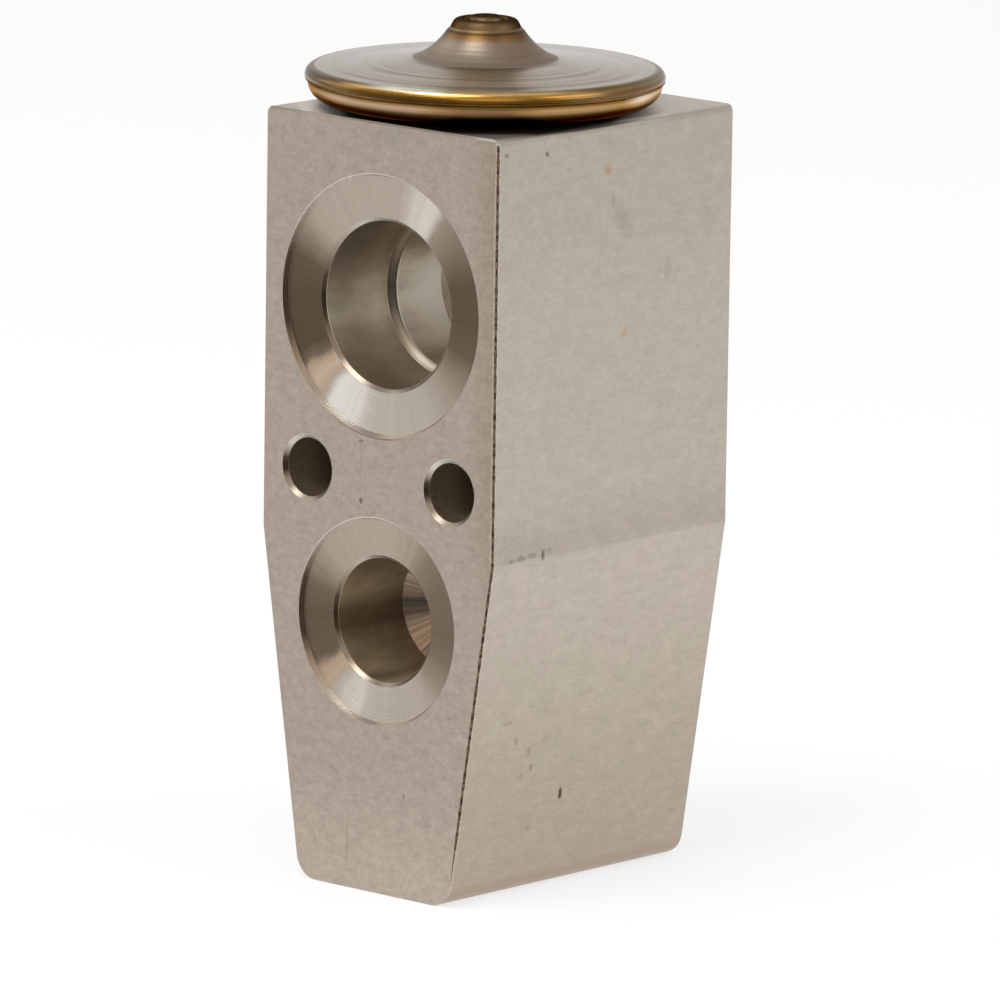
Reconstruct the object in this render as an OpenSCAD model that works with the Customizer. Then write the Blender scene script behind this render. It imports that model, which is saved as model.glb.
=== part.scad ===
// Block expansion valve for a refrigerant circuit, sizes in millimetres.
// The Z axis is the centre line of the valve train, z = 0 is the foot of the block.
// The front face looks along -Y. The suction passage runs from front to back near the top.

/* [Block] */
// Width of the block above the bend in its sides
block_w = 33; // [32:0.5:38]
// Depth of the block, front face to back face
block_d = 37.1; // [36.6:0.1:42]
// Height of the block
block_h = 82.8; // [82.4:0.2:90]
// Width of the block at its foot
base_w = 21.5; // [20.5:0.5:26]
// Height at which the sides begin to taper
bend_h = 37.6; // [32:0.2:41]
// Rounding of the two long edges at the foot
base_corner_r = 2.8; // [1:0.1:3]
// Rounding of the two long edges at the top
top_corner_r = 0.8; // [0.3:0.1:1.5]
// Distance from the front face to the valve's centre line
axis_setback = 16; // [15.6:0.1:17]

/* [Suction passage] */
// Height of the suction passage's centre line
suction_z = 63.2; // [62.8:0.1:63.6]
// Radius of the turned recess round each suction port
suction_lip_r = 14.05; // [12.5:0.05:14.6]
// Radius of the tube socket in each suction port
suction_bore_r = 8.95; // [8.5:0.05:9.2]
// Depth of the tube socket below the face
suction_bore_depth = 10.7; // [6:0.1:11.2]
// Radius of the narrower passage between the two sockets
suction_core_r = 8.15; // [7:0.05:8.3]

/* [Liquid ports] */
// Height of the outlet port in the front face
outlet_z = 29.3; // [29:0.1:30.6]
// Height of the inlet port in the back face
inlet_z = 22; // [21.5:0.1:23]
// Radius of the turned recess round each liquid port
liquid_lip_r = 11.2; // [9:0.1:11.6]
// Radius of the tube socket in each liquid port
liquid_bore_r = 6.7; // [6.2:0.05:6.9]
// Depth of the outlet's tube socket below the front face
outlet_bore_depth = 11.4; // [8:0.1:11.6]
// Depth of the inlet's tube socket below the back face
inlet_bore_depth = 9; // [7:0.1:11]
// Radius of the drilling from the outlet socket to the centre line
outlet_feed_r = 3.2; // [2.6:0.1:3.4]
// Radius of the drilling from the inlet socket to the valve chamber
inlet_feed_r = 2.4; // [1.8:0.1:2.6]
// How far the inlet drilling lies below the centre of its socket
inlet_feed_drop = 3.9; // [3:0.1:4]

/* [Port recesses] */
// Depth of the steep wall at the lip of a recess
dish_wall = 0.6; // [0.3:0.05:0.8]
// How far that wall leans in
dish_lean = 0.3; // [0.1:0.05:0.5]
// Depth of the recess where its floor meets the chamfer of the socket
dish_depth = 1; // [0.85:0.05:1.3]
// Chamfer at the mouth of a tube socket
mouth_chamfer = 0.4; // [0.1:0.05:0.6]

/* [Fixing holes] */
// Distance between the two bolt holes
bolt_spacing = 20.4; // [18:0.1:21]
// Height of the bolt holes
bolt_z = 44.6; // [43.4:0.1:45.2]
// Radius of a bolt hole
bolt_r = 3.15; // [2.5:0.05:3.3]
// Chamfer at both ends of a bolt hole
bolt_chamfer = 0.45; // [0.1:0.05:0.6]
// Core radius of the tapped hole for the pipe clamp in the back face
clamp_r = 2.5; // [2:0.05:2.6]
// Depth of that tapped hole
clamp_depth = 12; // [8:0.5:12]

/* [Power head] */
// Outer radius of the upper cover
head_r = 19.15; // [18.4:0.05:20]
// Sheet thickness of the upper cover
upper_t = 1.33; // [1.2:0.01:1.5]
// Depth of the lower cover's rolled rim below the seam
lower_t = 2.35; // [2.2:0.05:2.5]
// How far the rim of the lower cover stands back from that of the upper cover
rim_step = 0.36; // [0:0.02:0.5]
// Height of the seam between the covers above the block
seam_rise = 3.06; // [3:0.02:3.6]
// Width of the flat land round the upper cover
land_w = 3.95; // [3.4:0.05:4.2]
// Radius of the crease where the crater rises from the cover
crease_r = 7.85; // [7.4:0.05:8.4]
// Rise of the cover from its land to the crease
crease_rise = 0.88; // [0.7:0.02:1.2]
// Radius of the crater's shoulder
shoulder_r = 3.45; // [3.2:0.05:3.8]
// Height of the crater's shoulder above the land
shoulder_rise = 4.53; // [4.2:0.02:5]
// Radius of the flat ring on top of the crater
top_ring_r = 2.75; // [2.5:0.05:2.9]
// Height of that ring above the shoulder
top_ring_rise = 0.33; // [0.2:0.01:0.5]
// Thickness of the diaphragm
diaphragm_t = 0.2; // [0.12:0.02:0.26]
// Height of the waves pressed into the diaphragm, from the middle
wave_h = 0.15; // [0.05:0.01:0.18]
// Number of those waves
wave_count = 3; // [2:1:4]
// Core radius of the tapped socket that the power head screws into
neck_socket_r = 9.47; // [9.3:0.01:9.7]
// Length of the neck below the top of the block
neck_len = 9.3; // [8:0.1:9.4]
// Wall of the neck
neck_wall = 2; // [1.4:0.1:2.4]
// Radius of the section of the seal under the power head
head_seal_r = 0.8; // [0.6:0.05:0.9]

/* [Charge plug] */
// Radius of the plug's head
plug_head_r = 1.9; // [1.6:0.05:2.2]
// Height of the plug's head
plug_head_h = 0.6; // [0.4:0.05:1]
// Radius of the plug's stem
plug_stem_r = 1.25; // [0.9:0.05:1.4]

/* [Sensing rod] */
// Radius of the sensing rod
rod_r = 2.8; // [2.6:0.05:3.2]
// Height of the rod's lower end
rod_foot_z = 43; // [42:0.1:44]
// Radius of the push pin
pin_r = 1.2; // [0.9:0.05:1.3]
// Length of the pin inside the rod
pin_grip = 3; // [2:0.1:4]
// Radius of the section of the rod's seal
rod_seal_r = 0.5; // [0.4:0.05:0.6]
// Thickness of the washer over the rod's seal
seal_washer_t = 0.6; // [0.4:0.05:0.8]
// Thickness of the retaining ring over that washer
retainer_t = 0.6; // [0.4:0.05:0.8]
// Number of notches in the retaining ring
retainer_notches = 8; // [4:1:12]

/* [Stopper] */
// Radius of the stopper's disc under the diaphragm
stopper_r = 10.6; // [9.6:0.1:10.8]
// Thickness of the stopper's disc
stopper_t = 0.6; // [0.5:0.05:0.7]
// Wall of the stopper's socket round the rod
stopper_wall = 1.4; // [1:0.1:1.8]
// Depth of the stopper's socket
stopper_socket = 4; // [3:0.1:5]

/* [Valve] */
// Opening travel of the ball
valve_lift = 0.8; // [0.5:0.05:0.9]
// Radius of the orifice
orifice_r = 1.8; // [1.6:0.05:1.95]
// Width of the seat's cone from the orifice to the ball's line of contact
seat_band = 0.15; // [0.1:0.01:0.2]
// Length of the orifice above the seat
throat_len = 3.6; // [3.5:0.1:4]
// Radius of the valve chamber
chamber_r = 6.3; // [6:0.05:6.4]
// Radius of the ball holder's flange
holder_flange_r = 4.3; // [4.2:0.05:4.6]
// Thickness of the ball holder's flange
holder_flange_t = 1.2; // [0.8:0.1:1.4]
// Thickness of the damping spring's strip
damper_t = 0.3; // [0.2:0.05:0.4]
// Width of a leg of the damping spring
damper_leg_w = 2.2; // [1.6:0.1:2.6]
// Number of legs of the damping spring
damper_legs = 3; // [3:1:3]

/* [Bias spring] */
// Radius of the spring's coils to the middle of the wire
spring_r = 3.7; // [3.6:0.05:3.75]
// Diameter of the spring's wire
wire_d = 0.9; // [0.7:0.05:0.95]
// Number of turns that carry the load
active_turns = 3; // [2:0.5:3]

/* [Adjusting screw] */
// Core radius of the tapped bore for the adjusting screw
screw_bore_r = 6.95; // [6.8:0.05:7.1]
// How far the screw's face lies inside the foot of the block
screw_inset = 0.8; // [0.7:0.05:1.2]
// Length of the screw's threaded head
screw_head_len = 4.4; // [4:0.1:4.5]
// Length of the screw's sealing neck
screw_neck_len = 3.8; // [3.6:0.1:3.9]
// Pitch of the screw's thread
screw_pitch = 1; // [0.75:0.25:1]
// Width across the flats of the hexagon socket
hex_af = 6; // [5:0.5:6]
// Depth of the hexagon socket
hex_depth = 3.2; // [2:0.1:3.6]
// Radius of the section of the screw's seal
screw_seal_r = 0.74; // [0.6:0.02:0.76]

/* [Clearances] */
// Radial clearance of a shaft that slides or turns in a bore
running_gap = 0.05; // [0.03:0.01:0.08]
// Radial clearance of a screwed or pressed joint
screwed_gap = 0.05; // [0.02:0.01:0.08]
// Gap between faces that press on each other
contact_gap = 0.02; // [0.01:0.01:0.04]
// Free space where one piece may not touch another
free_gap = 0.3; // [0.2:0.05:0.4]

/* [Hidden] */

// Steps on a full circle, and on an arc inside a profile
$fn = 72;
arc_steps = 8;
// How far a cut runs past the face that it opens
past = 1;
// Half the point angle of a common drill
drill_half_angle = 59;
drill_slope = 1 / tan(drill_half_angle);

front_y = -axis_setback;
back_y = block_d - axis_setback;
bend_angle = atan2((block_w - base_w) / 2, bend_h);

// Power head, from the block upwards
seam_z = block_h + seam_rise;
land_z = seam_z + upper_t;
land_in_r = head_r - land_w;
crease_z = land_z + crease_rise;
shoulder_z = land_z + shoulder_rise;
top_ring_z = shoulder_z + top_ring_rise;
lower_rim_r = head_r - rim_step;
clamp_lap = 0.4;
clamp_in_r = land_in_r + clamp_lap;
plug_hole_r = plug_stem_r + screwed_gap;
diaphragm_top_z = seam_z + diaphragm_t / 2;
diaphragm_foot_z = seam_z - diaphragm_t / 2;

// Crater: bevel at its shoulder, sweep at its foot, and what the deep draw takes off the sheet
bevel_w = 0.68;
sweep_in = 2.1;
sweep_up = 0.68;
flank_angle = 50;
draw_thinning = 0.1;
wave_room = 0.1;

// Stopper and the floor of the lower cover that ends its travel
stopper_top_z = diaphragm_foot_z - contact_gap;
stopper_foot_z = stopper_top_z - stopper_t;
dish_floor_z = stopper_foot_z - valve_lift - 2 * contact_gap;
stopper_bore_r = rod_r + screwed_gap;
stopper_boss_r = stopper_bore_r + stopper_wall;
rod_top_z = stopper_foot_z - contact_gap;
stopper_boss_z = rod_top_z - stopper_socket;
dish_room = 2.2;
dish_in_r = stopper_r + dish_room;

// Neck of the lower cover and its socket in the block
neck_r = neck_socket_r - screwed_gap;
neck_foot_z = block_h - neck_len;
neck_bore_r = neck_r - neck_wall;
neck_relief = 0.5;
socket_floor_z = neck_foot_z - free_gap;
seal_seat_depth = 2 * head_seal_r + 2 * contact_gap;
seal_seat_r = neck_r + 2 * head_seal_r + 4 * contact_gap;
rod_way = 2;
rod_way_r = rod_r + rod_way;

// Guide of the rod and its seal, below the suction passage
rod_guide_r = rod_r + running_gap;
rod_hole_foot_z = rod_foot_z - valve_lift - free_gap;
seal_pocket_r = rod_guide_r + 2 * rod_seal_r + 2 * contact_gap;
core_floor_z = suction_z - suction_core_r;
retainer_sink = 1.6;
retainer_top_z = core_floor_z - retainer_sink;
retainer_foot_z = retainer_top_z - retainer_t;
washer_foot_z = retainer_foot_z - contact_gap - seal_washer_t;
seal_pocket_z = washer_foot_z - 2 * rod_seal_r - 2 * contact_gap;
pin_hole_r = pin_r + running_gap;

// Ball on its cone of 45 degrees
seat_margin = 0.6;
contact_r = orifice_r + seat_band;
ball_r = contact_r * sqrt(2);
seat_mouth_r = contact_r + seat_margin;
seat_face_z = outlet_z - outlet_feed_r - throat_len;
ball_z = seat_face_z + seat_mouth_r - 2 * contact_r - 1.5 * contact_gap;
chamber_top_z = seat_face_z - (chamber_r - seat_mouth_r) * drill_slope;

// Ball holder, damping spring and bias spring under the ball
cup_lip = 0.45;
cup_wall = 0.7;
cup_relief = 0.25;
cup_floor_t = 0.4;
cup_lip_r = contact_r + cup_lip;
cup_lip_z = ball_z - contact_r + cup_lip - 1.5 * contact_gap;
cup_r = cup_lip_r + cup_wall;
cup_floor_z = ball_z - ball_r - cup_relief;
flange_top_z = cup_floor_z - cup_floor_t;
flange_foot_z = flange_top_z - holder_flange_t;
damper_foot_z = flange_foot_z - contact_gap - damper_t;
spring_in_r = spring_r - wire_d / 2;
coil_room = 0.4;
spigot_r = spring_in_r - coil_room;
spigot_len = 2.6;
leg_out_r = sqrt(pow(chamber_r - 2 * running_gap, 2) - pow(damper_leg_w / 2, 2));

// Adjusting screw and its travel of half a turn each way
adjuster_travel = screw_pitch / 2;
end_room = 0.2;
screw_head_z = screw_inset + screw_head_len;
screw_top_z = screw_head_z + screw_neck_len;
screw_head_r = screw_bore_r - screwed_gap;
screw_neck_r = chamber_r - 2 * running_gap;
screw_bore_top_z = screw_head_z + adjuster_travel + end_room;
screw_seal_out_r = chamber_r - 1.5 * contact_gap;
screw_seal_mid_r = screw_seal_out_r - screw_seal_r;
groove_floor_r = screw_seal_mid_r - screw_seal_r - 2 * contact_gap;
groove_h = 2 * screw_seal_r + free_gap;
groove_mid_z = screw_head_z + screw_neck_len / 2 + end_room;
hex_r = hex_af / sqrt(3);

// Bias spring between the screw and the damping spring's ring
spring_foot_z = screw_top_z + contact_gap;
spring_top_z = damper_foot_z - contact_gap;
closed_gap = 0.07;
dead_pitch = wire_d + closed_gap;
spring_rise = spring_top_z - spring_foot_z - wire_d;
active_pitch = (spring_rise - 2 * dead_pitch) / active_turns;
wire_sides = 10;
steps_per_turn = 24;

// Points of an arc about c, from angle a to angle b
function arc(c, r, a, b, n = arc_steps) =
    [for (i = [0:n]) c + r * [cos(a + (b - a) * i / n), sin(a + (b - a) * i / n)]];

// Points of a curve from p to q that leaves and arrives along the lines to the corner
function bend(p, corner, q, n = arc_steps) =
    [for (i = [0:n]) let (t = i / n) (1 - t) * (1 - t) * p + 2 * t * (1 - t) * corner + t * t * q];

// Turns a profile given as [radius, height] points about the Z axis
module turned(points) {
    rotate_extrude() polygon(points);
}

// Places a tool in the front face or the back face, pointing into the block
module from_front(x, z) {
    translate([x, front_y, z]) rotate([-90, 0, 0]) children();
}

module from_back(x, z) {
    translate([x, back_y, z]) rotate([90, 0, 0]) children();
}

module ring(mid_r, section_r, z) {
    translate([0, 0, z]) rotate_extrude() translate([mid_r, 0]) circle(r = section_r, $fn = 36);
}

// Outline of the block seen from the front: straight flanks that lean in below the bend
module block_outline() {
    foot_turn = 90 - bend_angle;
    foot_set = base_corner_r * tan(foot_turn / 2);
    foot_x = base_w / 2 - foot_set;
    top_c = [block_w / 2 - top_corner_r, block_h - top_corner_r];
    foot_c = [foot_x, base_corner_r];
    half = concat(
        arc(foot_c, base_corner_r, -90, -bend_angle),
        [[block_w / 2, bend_h]],
        arc(top_c, top_corner_r, 0, 90));
    polygon(concat(half, [for (i = [len(half) - 1:-1:0]) [-half[i].x, half[i].y]]));
}

// Turned recess and tube socket, as [radius, depth] points below the face
function recess(lip_r, bore_r, bore_depth) = [
    [0, -past], [lip_r, -past], [lip_r, 0], [lip_r - dish_lean, dish_wall],
    [bore_r + mouth_chamfer, dish_depth], [bore_r, dish_depth + mouth_chamfer],
    [bore_r, bore_depth]];

module suction_port() {
    step = suction_bore_r - suction_core_r;
    turned(concat(recess(suction_lip_r, suction_bore_r, suction_bore_depth),
        [[suction_core_r, suction_bore_depth + step], [0, suction_bore_depth + step]]));
}

module liquid_port(bore_depth) {
    turned(concat(recess(liquid_lip_r, liquid_bore_r, bore_depth),
        [[0, bore_depth + liquid_bore_r * drill_slope]]));
}

module suction_passage() {
    from_front(0, suction_z) suction_port();
    from_back(0, suction_z) suction_port();
    from_front(0, suction_z) translate([0, 0, past]) cylinder(r = suction_core_r, h = block_d - 2 * past);
}

module liquid_passages() {
    outlet_reach = axis_setback + outlet_feed_r;
    inlet_reach = back_y - chamber_r / 2;
    from_front(0, outlet_z) liquid_port(outlet_bore_depth);
    from_front(0, outlet_z) turned([
        [0, past], [outlet_feed_r, past], [outlet_feed_r, outlet_reach],
        [0, outlet_reach + outlet_feed_r * drill_slope]]);
    from_back(0, inlet_z) liquid_port(inlet_bore_depth);
    from_back(0, inlet_z - inlet_feed_drop) translate([0, 0, inlet_bore_depth - past])
        cylinder(r = inlet_feed_r, h = inlet_reach - inlet_bore_depth + past);
}

// Bolt holes right through the block, and the blind tapped hole in its back
module fixing_holes() {
    mouth_r = bolt_r + bolt_chamfer;
    for (side = [-1, 1]) from_front(side * bolt_spacing / 2, bolt_z) turned([
        [0, -past], [mouth_r, -past], [mouth_r, 0], [bolt_r, bolt_chamfer],
        [bolt_r, block_d - bolt_chamfer], [mouth_r, block_d], [mouth_r, block_d + past],
        [0, block_d + past]]);
    clamp_mouth_r = clamp_r + bolt_chamfer;
    from_back(0, bolt_z) turned([
        [0, -past], [clamp_mouth_r, -past], [clamp_mouth_r, 0], [clamp_r, bolt_chamfer],
        [clamp_r, clamp_depth], [0, clamp_depth + clamp_r * drill_slope]]);
}

// Socket for the power head's neck, with the seat of its seal
module head_socket() {
    seat_z = block_h - seal_seat_depth;
    turned([
        [0, block_h + past], [seal_seat_r, block_h + past], [seal_seat_r, seat_z],
        [neck_socket_r, seat_z], [neck_socket_r, socket_floor_z], [0, socket_floor_z]]);
}

// Stepped bore for the rod, its seal and the pin, down to the outlet drilling
module rod_bore() {
    turned([
        [0, socket_floor_z + past], [rod_way_r, socket_floor_z + past], [rod_way_r, suction_z],
        [seal_pocket_r, suction_z], [seal_pocket_r, seal_pocket_z], [rod_guide_r, seal_pocket_z],
        [rod_guide_r, rod_hole_foot_z], [pin_hole_r, rod_hole_foot_z], [pin_hole_r, outlet_z],
        [0, outlet_z]]);
}

// Bore from the foot: lead-in, thread, sealing bore, chamber, seat and orifice
module valve_bore() {
    lead = 0.5;
    step = screw_bore_r - chamber_r;
    turned([
        [0, -past], [screw_bore_r + lead, -past], [screw_bore_r + lead, 0], [screw_bore_r, lead],
        [screw_bore_r, screw_bore_top_z], [chamber_r, screw_bore_top_z + step],
        [chamber_r, chamber_top_z], [seat_mouth_r, seat_face_z],
        [orifice_r, seat_face_z + seat_mouth_r - orifice_r], [orifice_r, outlet_z], [0, outlet_z]]);
}

module valve_body() {
    color("darkgray") difference() {
        translate([0, back_y, 0]) rotate([90, 0, 0]) linear_extrude(block_d) block_outline();
        suction_passage();
        liquid_passages();
        fixing_holes();
        head_socket();
        rod_bore();
        valve_bore();
    }
}

// Pressed sheet: rim rounded over its top, flat land, shallow cone and a hollow crater in the middle
module upper_cover() {
    rim_edge_r = 0.14;
    crown_r = upper_t - diaphragm_t / 2 - rim_edge_r;
    flank = [shoulder_r + bevel_w, shoulder_z - bevel_w];
    foot_corner = [crease_r, crease_z] + [-sweep_in, sweep_up];
    wall = upper_t - draw_thinning;
    inner_foot = [crease_r - wall, crease_z - wall];
    inner_flank = flank - wall * [cos(flank_angle), sin(flank_angle)];
    outside = concat(
        arc([head_r - rim_edge_r, diaphragm_top_z + rim_edge_r], rim_edge_r, -90, 0, 4),
        arc([head_r - crown_r, land_z - crown_r], crown_r, 0, 90),
        [[land_in_r, land_z]],
        bend([crease_r, crease_z], foot_corner, flank),
        [[shoulder_r, shoulder_z], [top_ring_r, top_ring_z], [plug_hole_r, top_ring_z]]);
    inside = concat(
        [[plug_hole_r, top_ring_z - wall]],
        bend(inner_flank, foot_corner - wall * [cos(flank_angle), sin(flank_angle)], inner_foot),
        [[clamp_in_r - free_gap, diaphragm_top_z + wave_h + wave_room], [clamp_in_r, diaphragm_top_z]]);
    color("silver") turned(concat(outside, inside));
}

// Plug welded into the crater once the head is charged
module charge_plug() {
    stem_past = 0.4;
    edge = 0.2;
    skirt = 0.12;
    dome = 0.05;
    shoulder_in = 0.85;
    stem_foot_z = top_ring_z - upper_t - stem_past;
    head_z = top_ring_z + contact_gap;
    head_top_z = head_z + plug_head_h;
    color("gray") turned(concat(
        [[0, stem_foot_z], [plug_stem_r - edge, stem_foot_z], [plug_stem_r, stem_foot_z + edge],
            [plug_stem_r, head_z], [plug_head_r, head_z]],
        bend([plug_head_r, head_z + skirt], [plug_head_r - skirt, head_top_z],
            [plug_head_r - shoulder_in, head_top_z]),
        [[0, head_top_z + dome]]));
}

// Thin disc clamped at the seam, flat in the middle, with rings of waves outside that
module diaphragm() {
    flat_past = 0.4;
    wave_in = stopper_r + flat_past;
    wave_out = clamp_in_r - 3 * flat_past;
    edge_in = 1;
    edge_r = lower_rim_r - edge_in;
    steps = wave_count * arc_steps;
    function wave(i) = wave_h * sin(360 * wave_count * i / steps);
    function at(i) = wave_in + (wave_out - wave_in) * i / steps;
    color("gainsboro") turned(concat(
        [[0, diaphragm_foot_z]],
        [for (i = [0:steps]) [at(i), diaphragm_foot_z + wave(i)]],
        [[edge_r, diaphragm_foot_z], [edge_r, diaphragm_top_z]],
        [for (i = [steps:-1:0]) [at(i), diaphragm_top_z + wave(i)]],
        [[0, diaphragm_top_z]]));
}

// Rolled rim over a shallow cone, dished floor that stops the stopper, and the neck for the block
module lower_cover() {
    rim_foot_z = seam_z - lower_t;
    hem_r = 0.26;
    side_h = 0.3;
    roll_lean = 0.2;
    roll_w = 1.5;
    roll_rise = 0.5;
    seat_lap = 0.4;
    seat_out_r = dish_in_r + seat_lap;
    relief_w = 1;
    relief_z = block_h - seal_seat_depth - neck_relief;
    outside = concat(
        [[clamp_in_r, diaphragm_foot_z]],
        arc([lower_rim_r - hem_r, diaphragm_foot_z - hem_r], hem_r, 90, 0, 4),
        bend([lower_rim_r, diaphragm_foot_z - hem_r - side_h],
            [lower_rim_r - roll_lean, rim_foot_z + roll_rise], [lower_rim_r - roll_w, rim_foot_z]),
        [[seat_out_r, block_h], [neck_r, block_h], [neck_r, relief_z],
            [neck_r - neck_relief, relief_z - neck_relief],
            [neck_r - neck_relief, relief_z - relief_w],
            [neck_r, relief_z - relief_w - neck_relief],
            [neck_r, neck_foot_z + neck_relief], [neck_r - neck_relief, neck_foot_z]]);
    inside = [
        [neck_bore_r, neck_foot_z], [neck_bore_r, dish_floor_z - neck_relief],
        [neck_bore_r + neck_relief, dish_floor_z], [dish_in_r, dish_floor_z]];
    color("silver") turned(concat(outside, inside));
}

module head_o_ring() {
    color("black") ring(neck_r + 2 * contact_gap + head_seal_r, head_seal_r,
        block_h - seal_seat_depth + contact_gap + head_seal_r);
}

// Disc that the diaphragm presses on, with a socket for the rod
module stopper() {
    edge = 0.2;
    color("lightgray") turned([
        [0, stopper_top_z], [stopper_r - edge, stopper_top_z], [stopper_r, stopper_top_z - edge],
        [stopper_r, stopper_foot_z], [stopper_boss_r, stopper_foot_z],
        [stopper_boss_r, stopper_boss_z], [stopper_bore_r, stopper_boss_z],
        [stopper_bore_r, stopper_foot_z], [0, stopper_foot_z]]);
}

// Rod that crosses the suction passage and carries its warmth to the charge
module sensing_rod() {
    edge = 0.4;
    pin_socket_z = rod_foot_z + pin_grip + contact_gap;
    color("lightgray") turned([
        [0, rod_top_z], [rod_r - edge, rod_top_z], [rod_r, rod_top_z - edge],
        [rod_r, rod_foot_z + edge], [rod_r - edge, rod_foot_z], [pin_r + screwed_gap, rod_foot_z],
        [pin_r + screwed_gap, pin_socket_z], [0, pin_socket_z]]);
}

module rod_o_ring() {
    color("black") ring(rod_guide_r + contact_gap + rod_seal_r, rod_seal_r,
        seal_pocket_z + contact_gap + rod_seal_r);
}

module seal_washer() {
    washer_r = seal_pocket_r - 2 * contact_gap;
    color("white") translate([0, 0, washer_foot_z]) difference() {
        cylinder(r = washer_r, h = seal_washer_t);
        translate([0, 0, -past]) cylinder(r = rod_guide_r + contact_gap, h = seal_washer_t + 2 * past);
    }
}

// Sprung ring pressed into the pocket, notched round its edge
module retaining_ring() {
    notch_r = 0.35;
    ring_r = seal_pocket_r - contact_gap;
    color("silver") translate([0, 0, retainer_foot_z]) difference() {
        cylinder(r = ring_r, h = retainer_t);
        translate([0, 0, -past]) cylinder(r = rod_r + free_gap, h = retainer_t + 2 * past);
        for (i = [1:retainer_notches]) rotate(360 * i / retainer_notches)
            translate([ring_r, 0, -past]) cylinder(r = notch_r, h = retainer_t + 2 * past, $fn = 24);
    }
}

// Thin pin from the rod, through the orifice, down to the ball
module push_pin() {
    edge = 0.2;
    foot_z = ball_z + ball_r + contact_gap;
    head_z = rod_foot_z + pin_grip;
    color("silver") turned([
        [0, foot_z], [pin_r - edge, foot_z], [pin_r, foot_z + edge], [pin_r, head_z - edge],
        [pin_r - edge, head_z], [0, head_z]]);
}

module valve_ball() {
    color("silver") translate([0, 0, ball_z]) sphere(r = ball_r);
}

// Cup that carries the ball, flange for the spring and a spigot inside the coils
module ball_holder() {
    spigot_foot_z = flange_foot_z - spigot_len;
    edge = 0.3;
    cone_foot_r = cup_lip_r - (cup_lip_z - cup_floor_z);
    color("goldenrod") turned([
        [0, cup_floor_z], [cone_foot_r, cup_floor_z], [cup_lip_r, cup_lip_z], [cup_r, cup_lip_z],
        [cup_r, flange_top_z], [holder_flange_r, flange_top_z], [holder_flange_r, flange_foot_z],
        [spigot_r, flange_foot_z], [spigot_r, spigot_foot_z + edge],
        [spigot_r - edge, spigot_foot_z], [0, spigot_foot_z]]);
}

// Thin ring under the flange with bowed legs that drag on the chamber's wall
module damping_spring() {
    ring_in_r = spigot_r + contact_gap;
    ring_out_r = holder_flange_r;
    bend_in = 0.3;
    bend_out = 0.4;
    drag_from = 1.85;
    drag_len = 0.8;
    toe_in = 0.5;
    toe_len = 1;
    start_z = damper_foot_z + damper_t / 2;
    drag_r = leg_out_r - damper_t / 2;
    drag_z = start_z - drag_from;
    path = [
        [ring_out_r - bend_in, start_z], [ring_out_r + bend_out, start_z - damper_t / 3],
        [drag_r, drag_z], [drag_r, drag_z - drag_len], [drag_r - toe_in, drag_z - drag_len - toe_len]];
    function side(i, s) = let (
        a = path[max(i - 1, 0)], b = path[min(i + 1, len(path) - 1)], d = (b - a) / norm(b - a))
        path[i] + s * damper_t / 2 * [-d.y, d.x];
    strip = concat([for (i = [0:len(path) - 1]) side(i, 1)],
        [for (i = [len(path) - 1:-1:0]) side(i, -1)]);
    color("silver") difference() {
        union() {
            translate([0, 0, damper_foot_z]) cylinder(r = ring_out_r, h = damper_t);
            for (i = [1:damper_legs]) rotate(30 + 360 * i / damper_legs)
                translate([0, damper_leg_w / 2, 0]) rotate([90, 0, 0])
                    linear_extrude(damper_leg_w) polygon(strip);
        }
        translate([0, 0, damper_foot_z - past]) cylinder(r = ring_in_r, h = damper_t + 2 * past);
    }
}

// Coil of round wire with one closed turn at each end
module bias_spring() {
    total = active_turns + 2;
    count = total * steps_per_turn;
    function lift(t) = dead_pitch * min(t, 1) + active_pitch * min(max(t - 1, 0), active_turns)
        + dead_pitch * max(t - 1 - active_turns, 0);
    start_z = spring_foot_z + wire_d / 2;
    points = [for (i = [0:count], j = [0:wire_sides - 1])
        let (t = i / steps_per_turn, a = 360 * t, b = 360 * j / wire_sides,
            r = spring_r + wire_d / 2 * cos(b))
        [r * cos(a), r * sin(a), start_z + lift(t) + wire_d / 2 * sin(b)]];
    walls = [for (i = [0:count - 1], j = [0:wire_sides - 1])
        let (k = (j + 1) % wire_sides, p = i * wire_sides, q = p + wire_sides)
        [p + j, p + k, q + k, q + j]];
    ends = [[for (j = [wire_sides - 1:-1:0]) j], [for (j = [0:wire_sides - 1]) count * wire_sides + j]];
    color("silver") polyhedron(points = points, faces = concat(walls, ends), convexity = 8);
}

// Threaded head with a hexagon socket, and a grooved neck that seals and carries the spring
module adjusting_screw() {
    edge = 0.5;
    hex_lead = 0.3;
    seat_spigot_h = 1.6;
    groove_top_z = groove_mid_z + groove_h / 2;
    groove_foot_z = groove_mid_z - groove_h / 2;
    color("goldenrod") difference() {
        turned([
            [0, screw_inset], [screw_head_r - edge, screw_inset], [screw_head_r, screw_inset + edge],
            [screw_head_r, screw_head_z], [screw_neck_r, screw_head_z],
            [screw_neck_r, groove_foot_z], [groove_floor_r, groove_foot_z],
            [groove_floor_r, groove_top_z], [screw_neck_r, groove_top_z],
            [screw_neck_r, screw_top_z - edge / 2], [screw_neck_r - edge / 2, screw_top_z],
            [spigot_r, screw_top_z], [spigot_r, screw_top_z + seat_spigot_h - edge],
            [spigot_r - edge, screw_top_z + seat_spigot_h], [0, screw_top_z + seat_spigot_h]]);
        translate([0, 0, screw_inset - past]) cylinder(r = hex_r, h = hex_depth + past, $fn = 6);
        translate([0, 0, screw_inset - past])
            cylinder(r1 = hex_r + past, r2 = hex_r - hex_lead, h = past + hex_lead);
    }
}

module adjuster_o_ring() {
    color("black") ring(screw_seal_mid_r, screw_seal_r, groove_mid_z);
}

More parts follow.
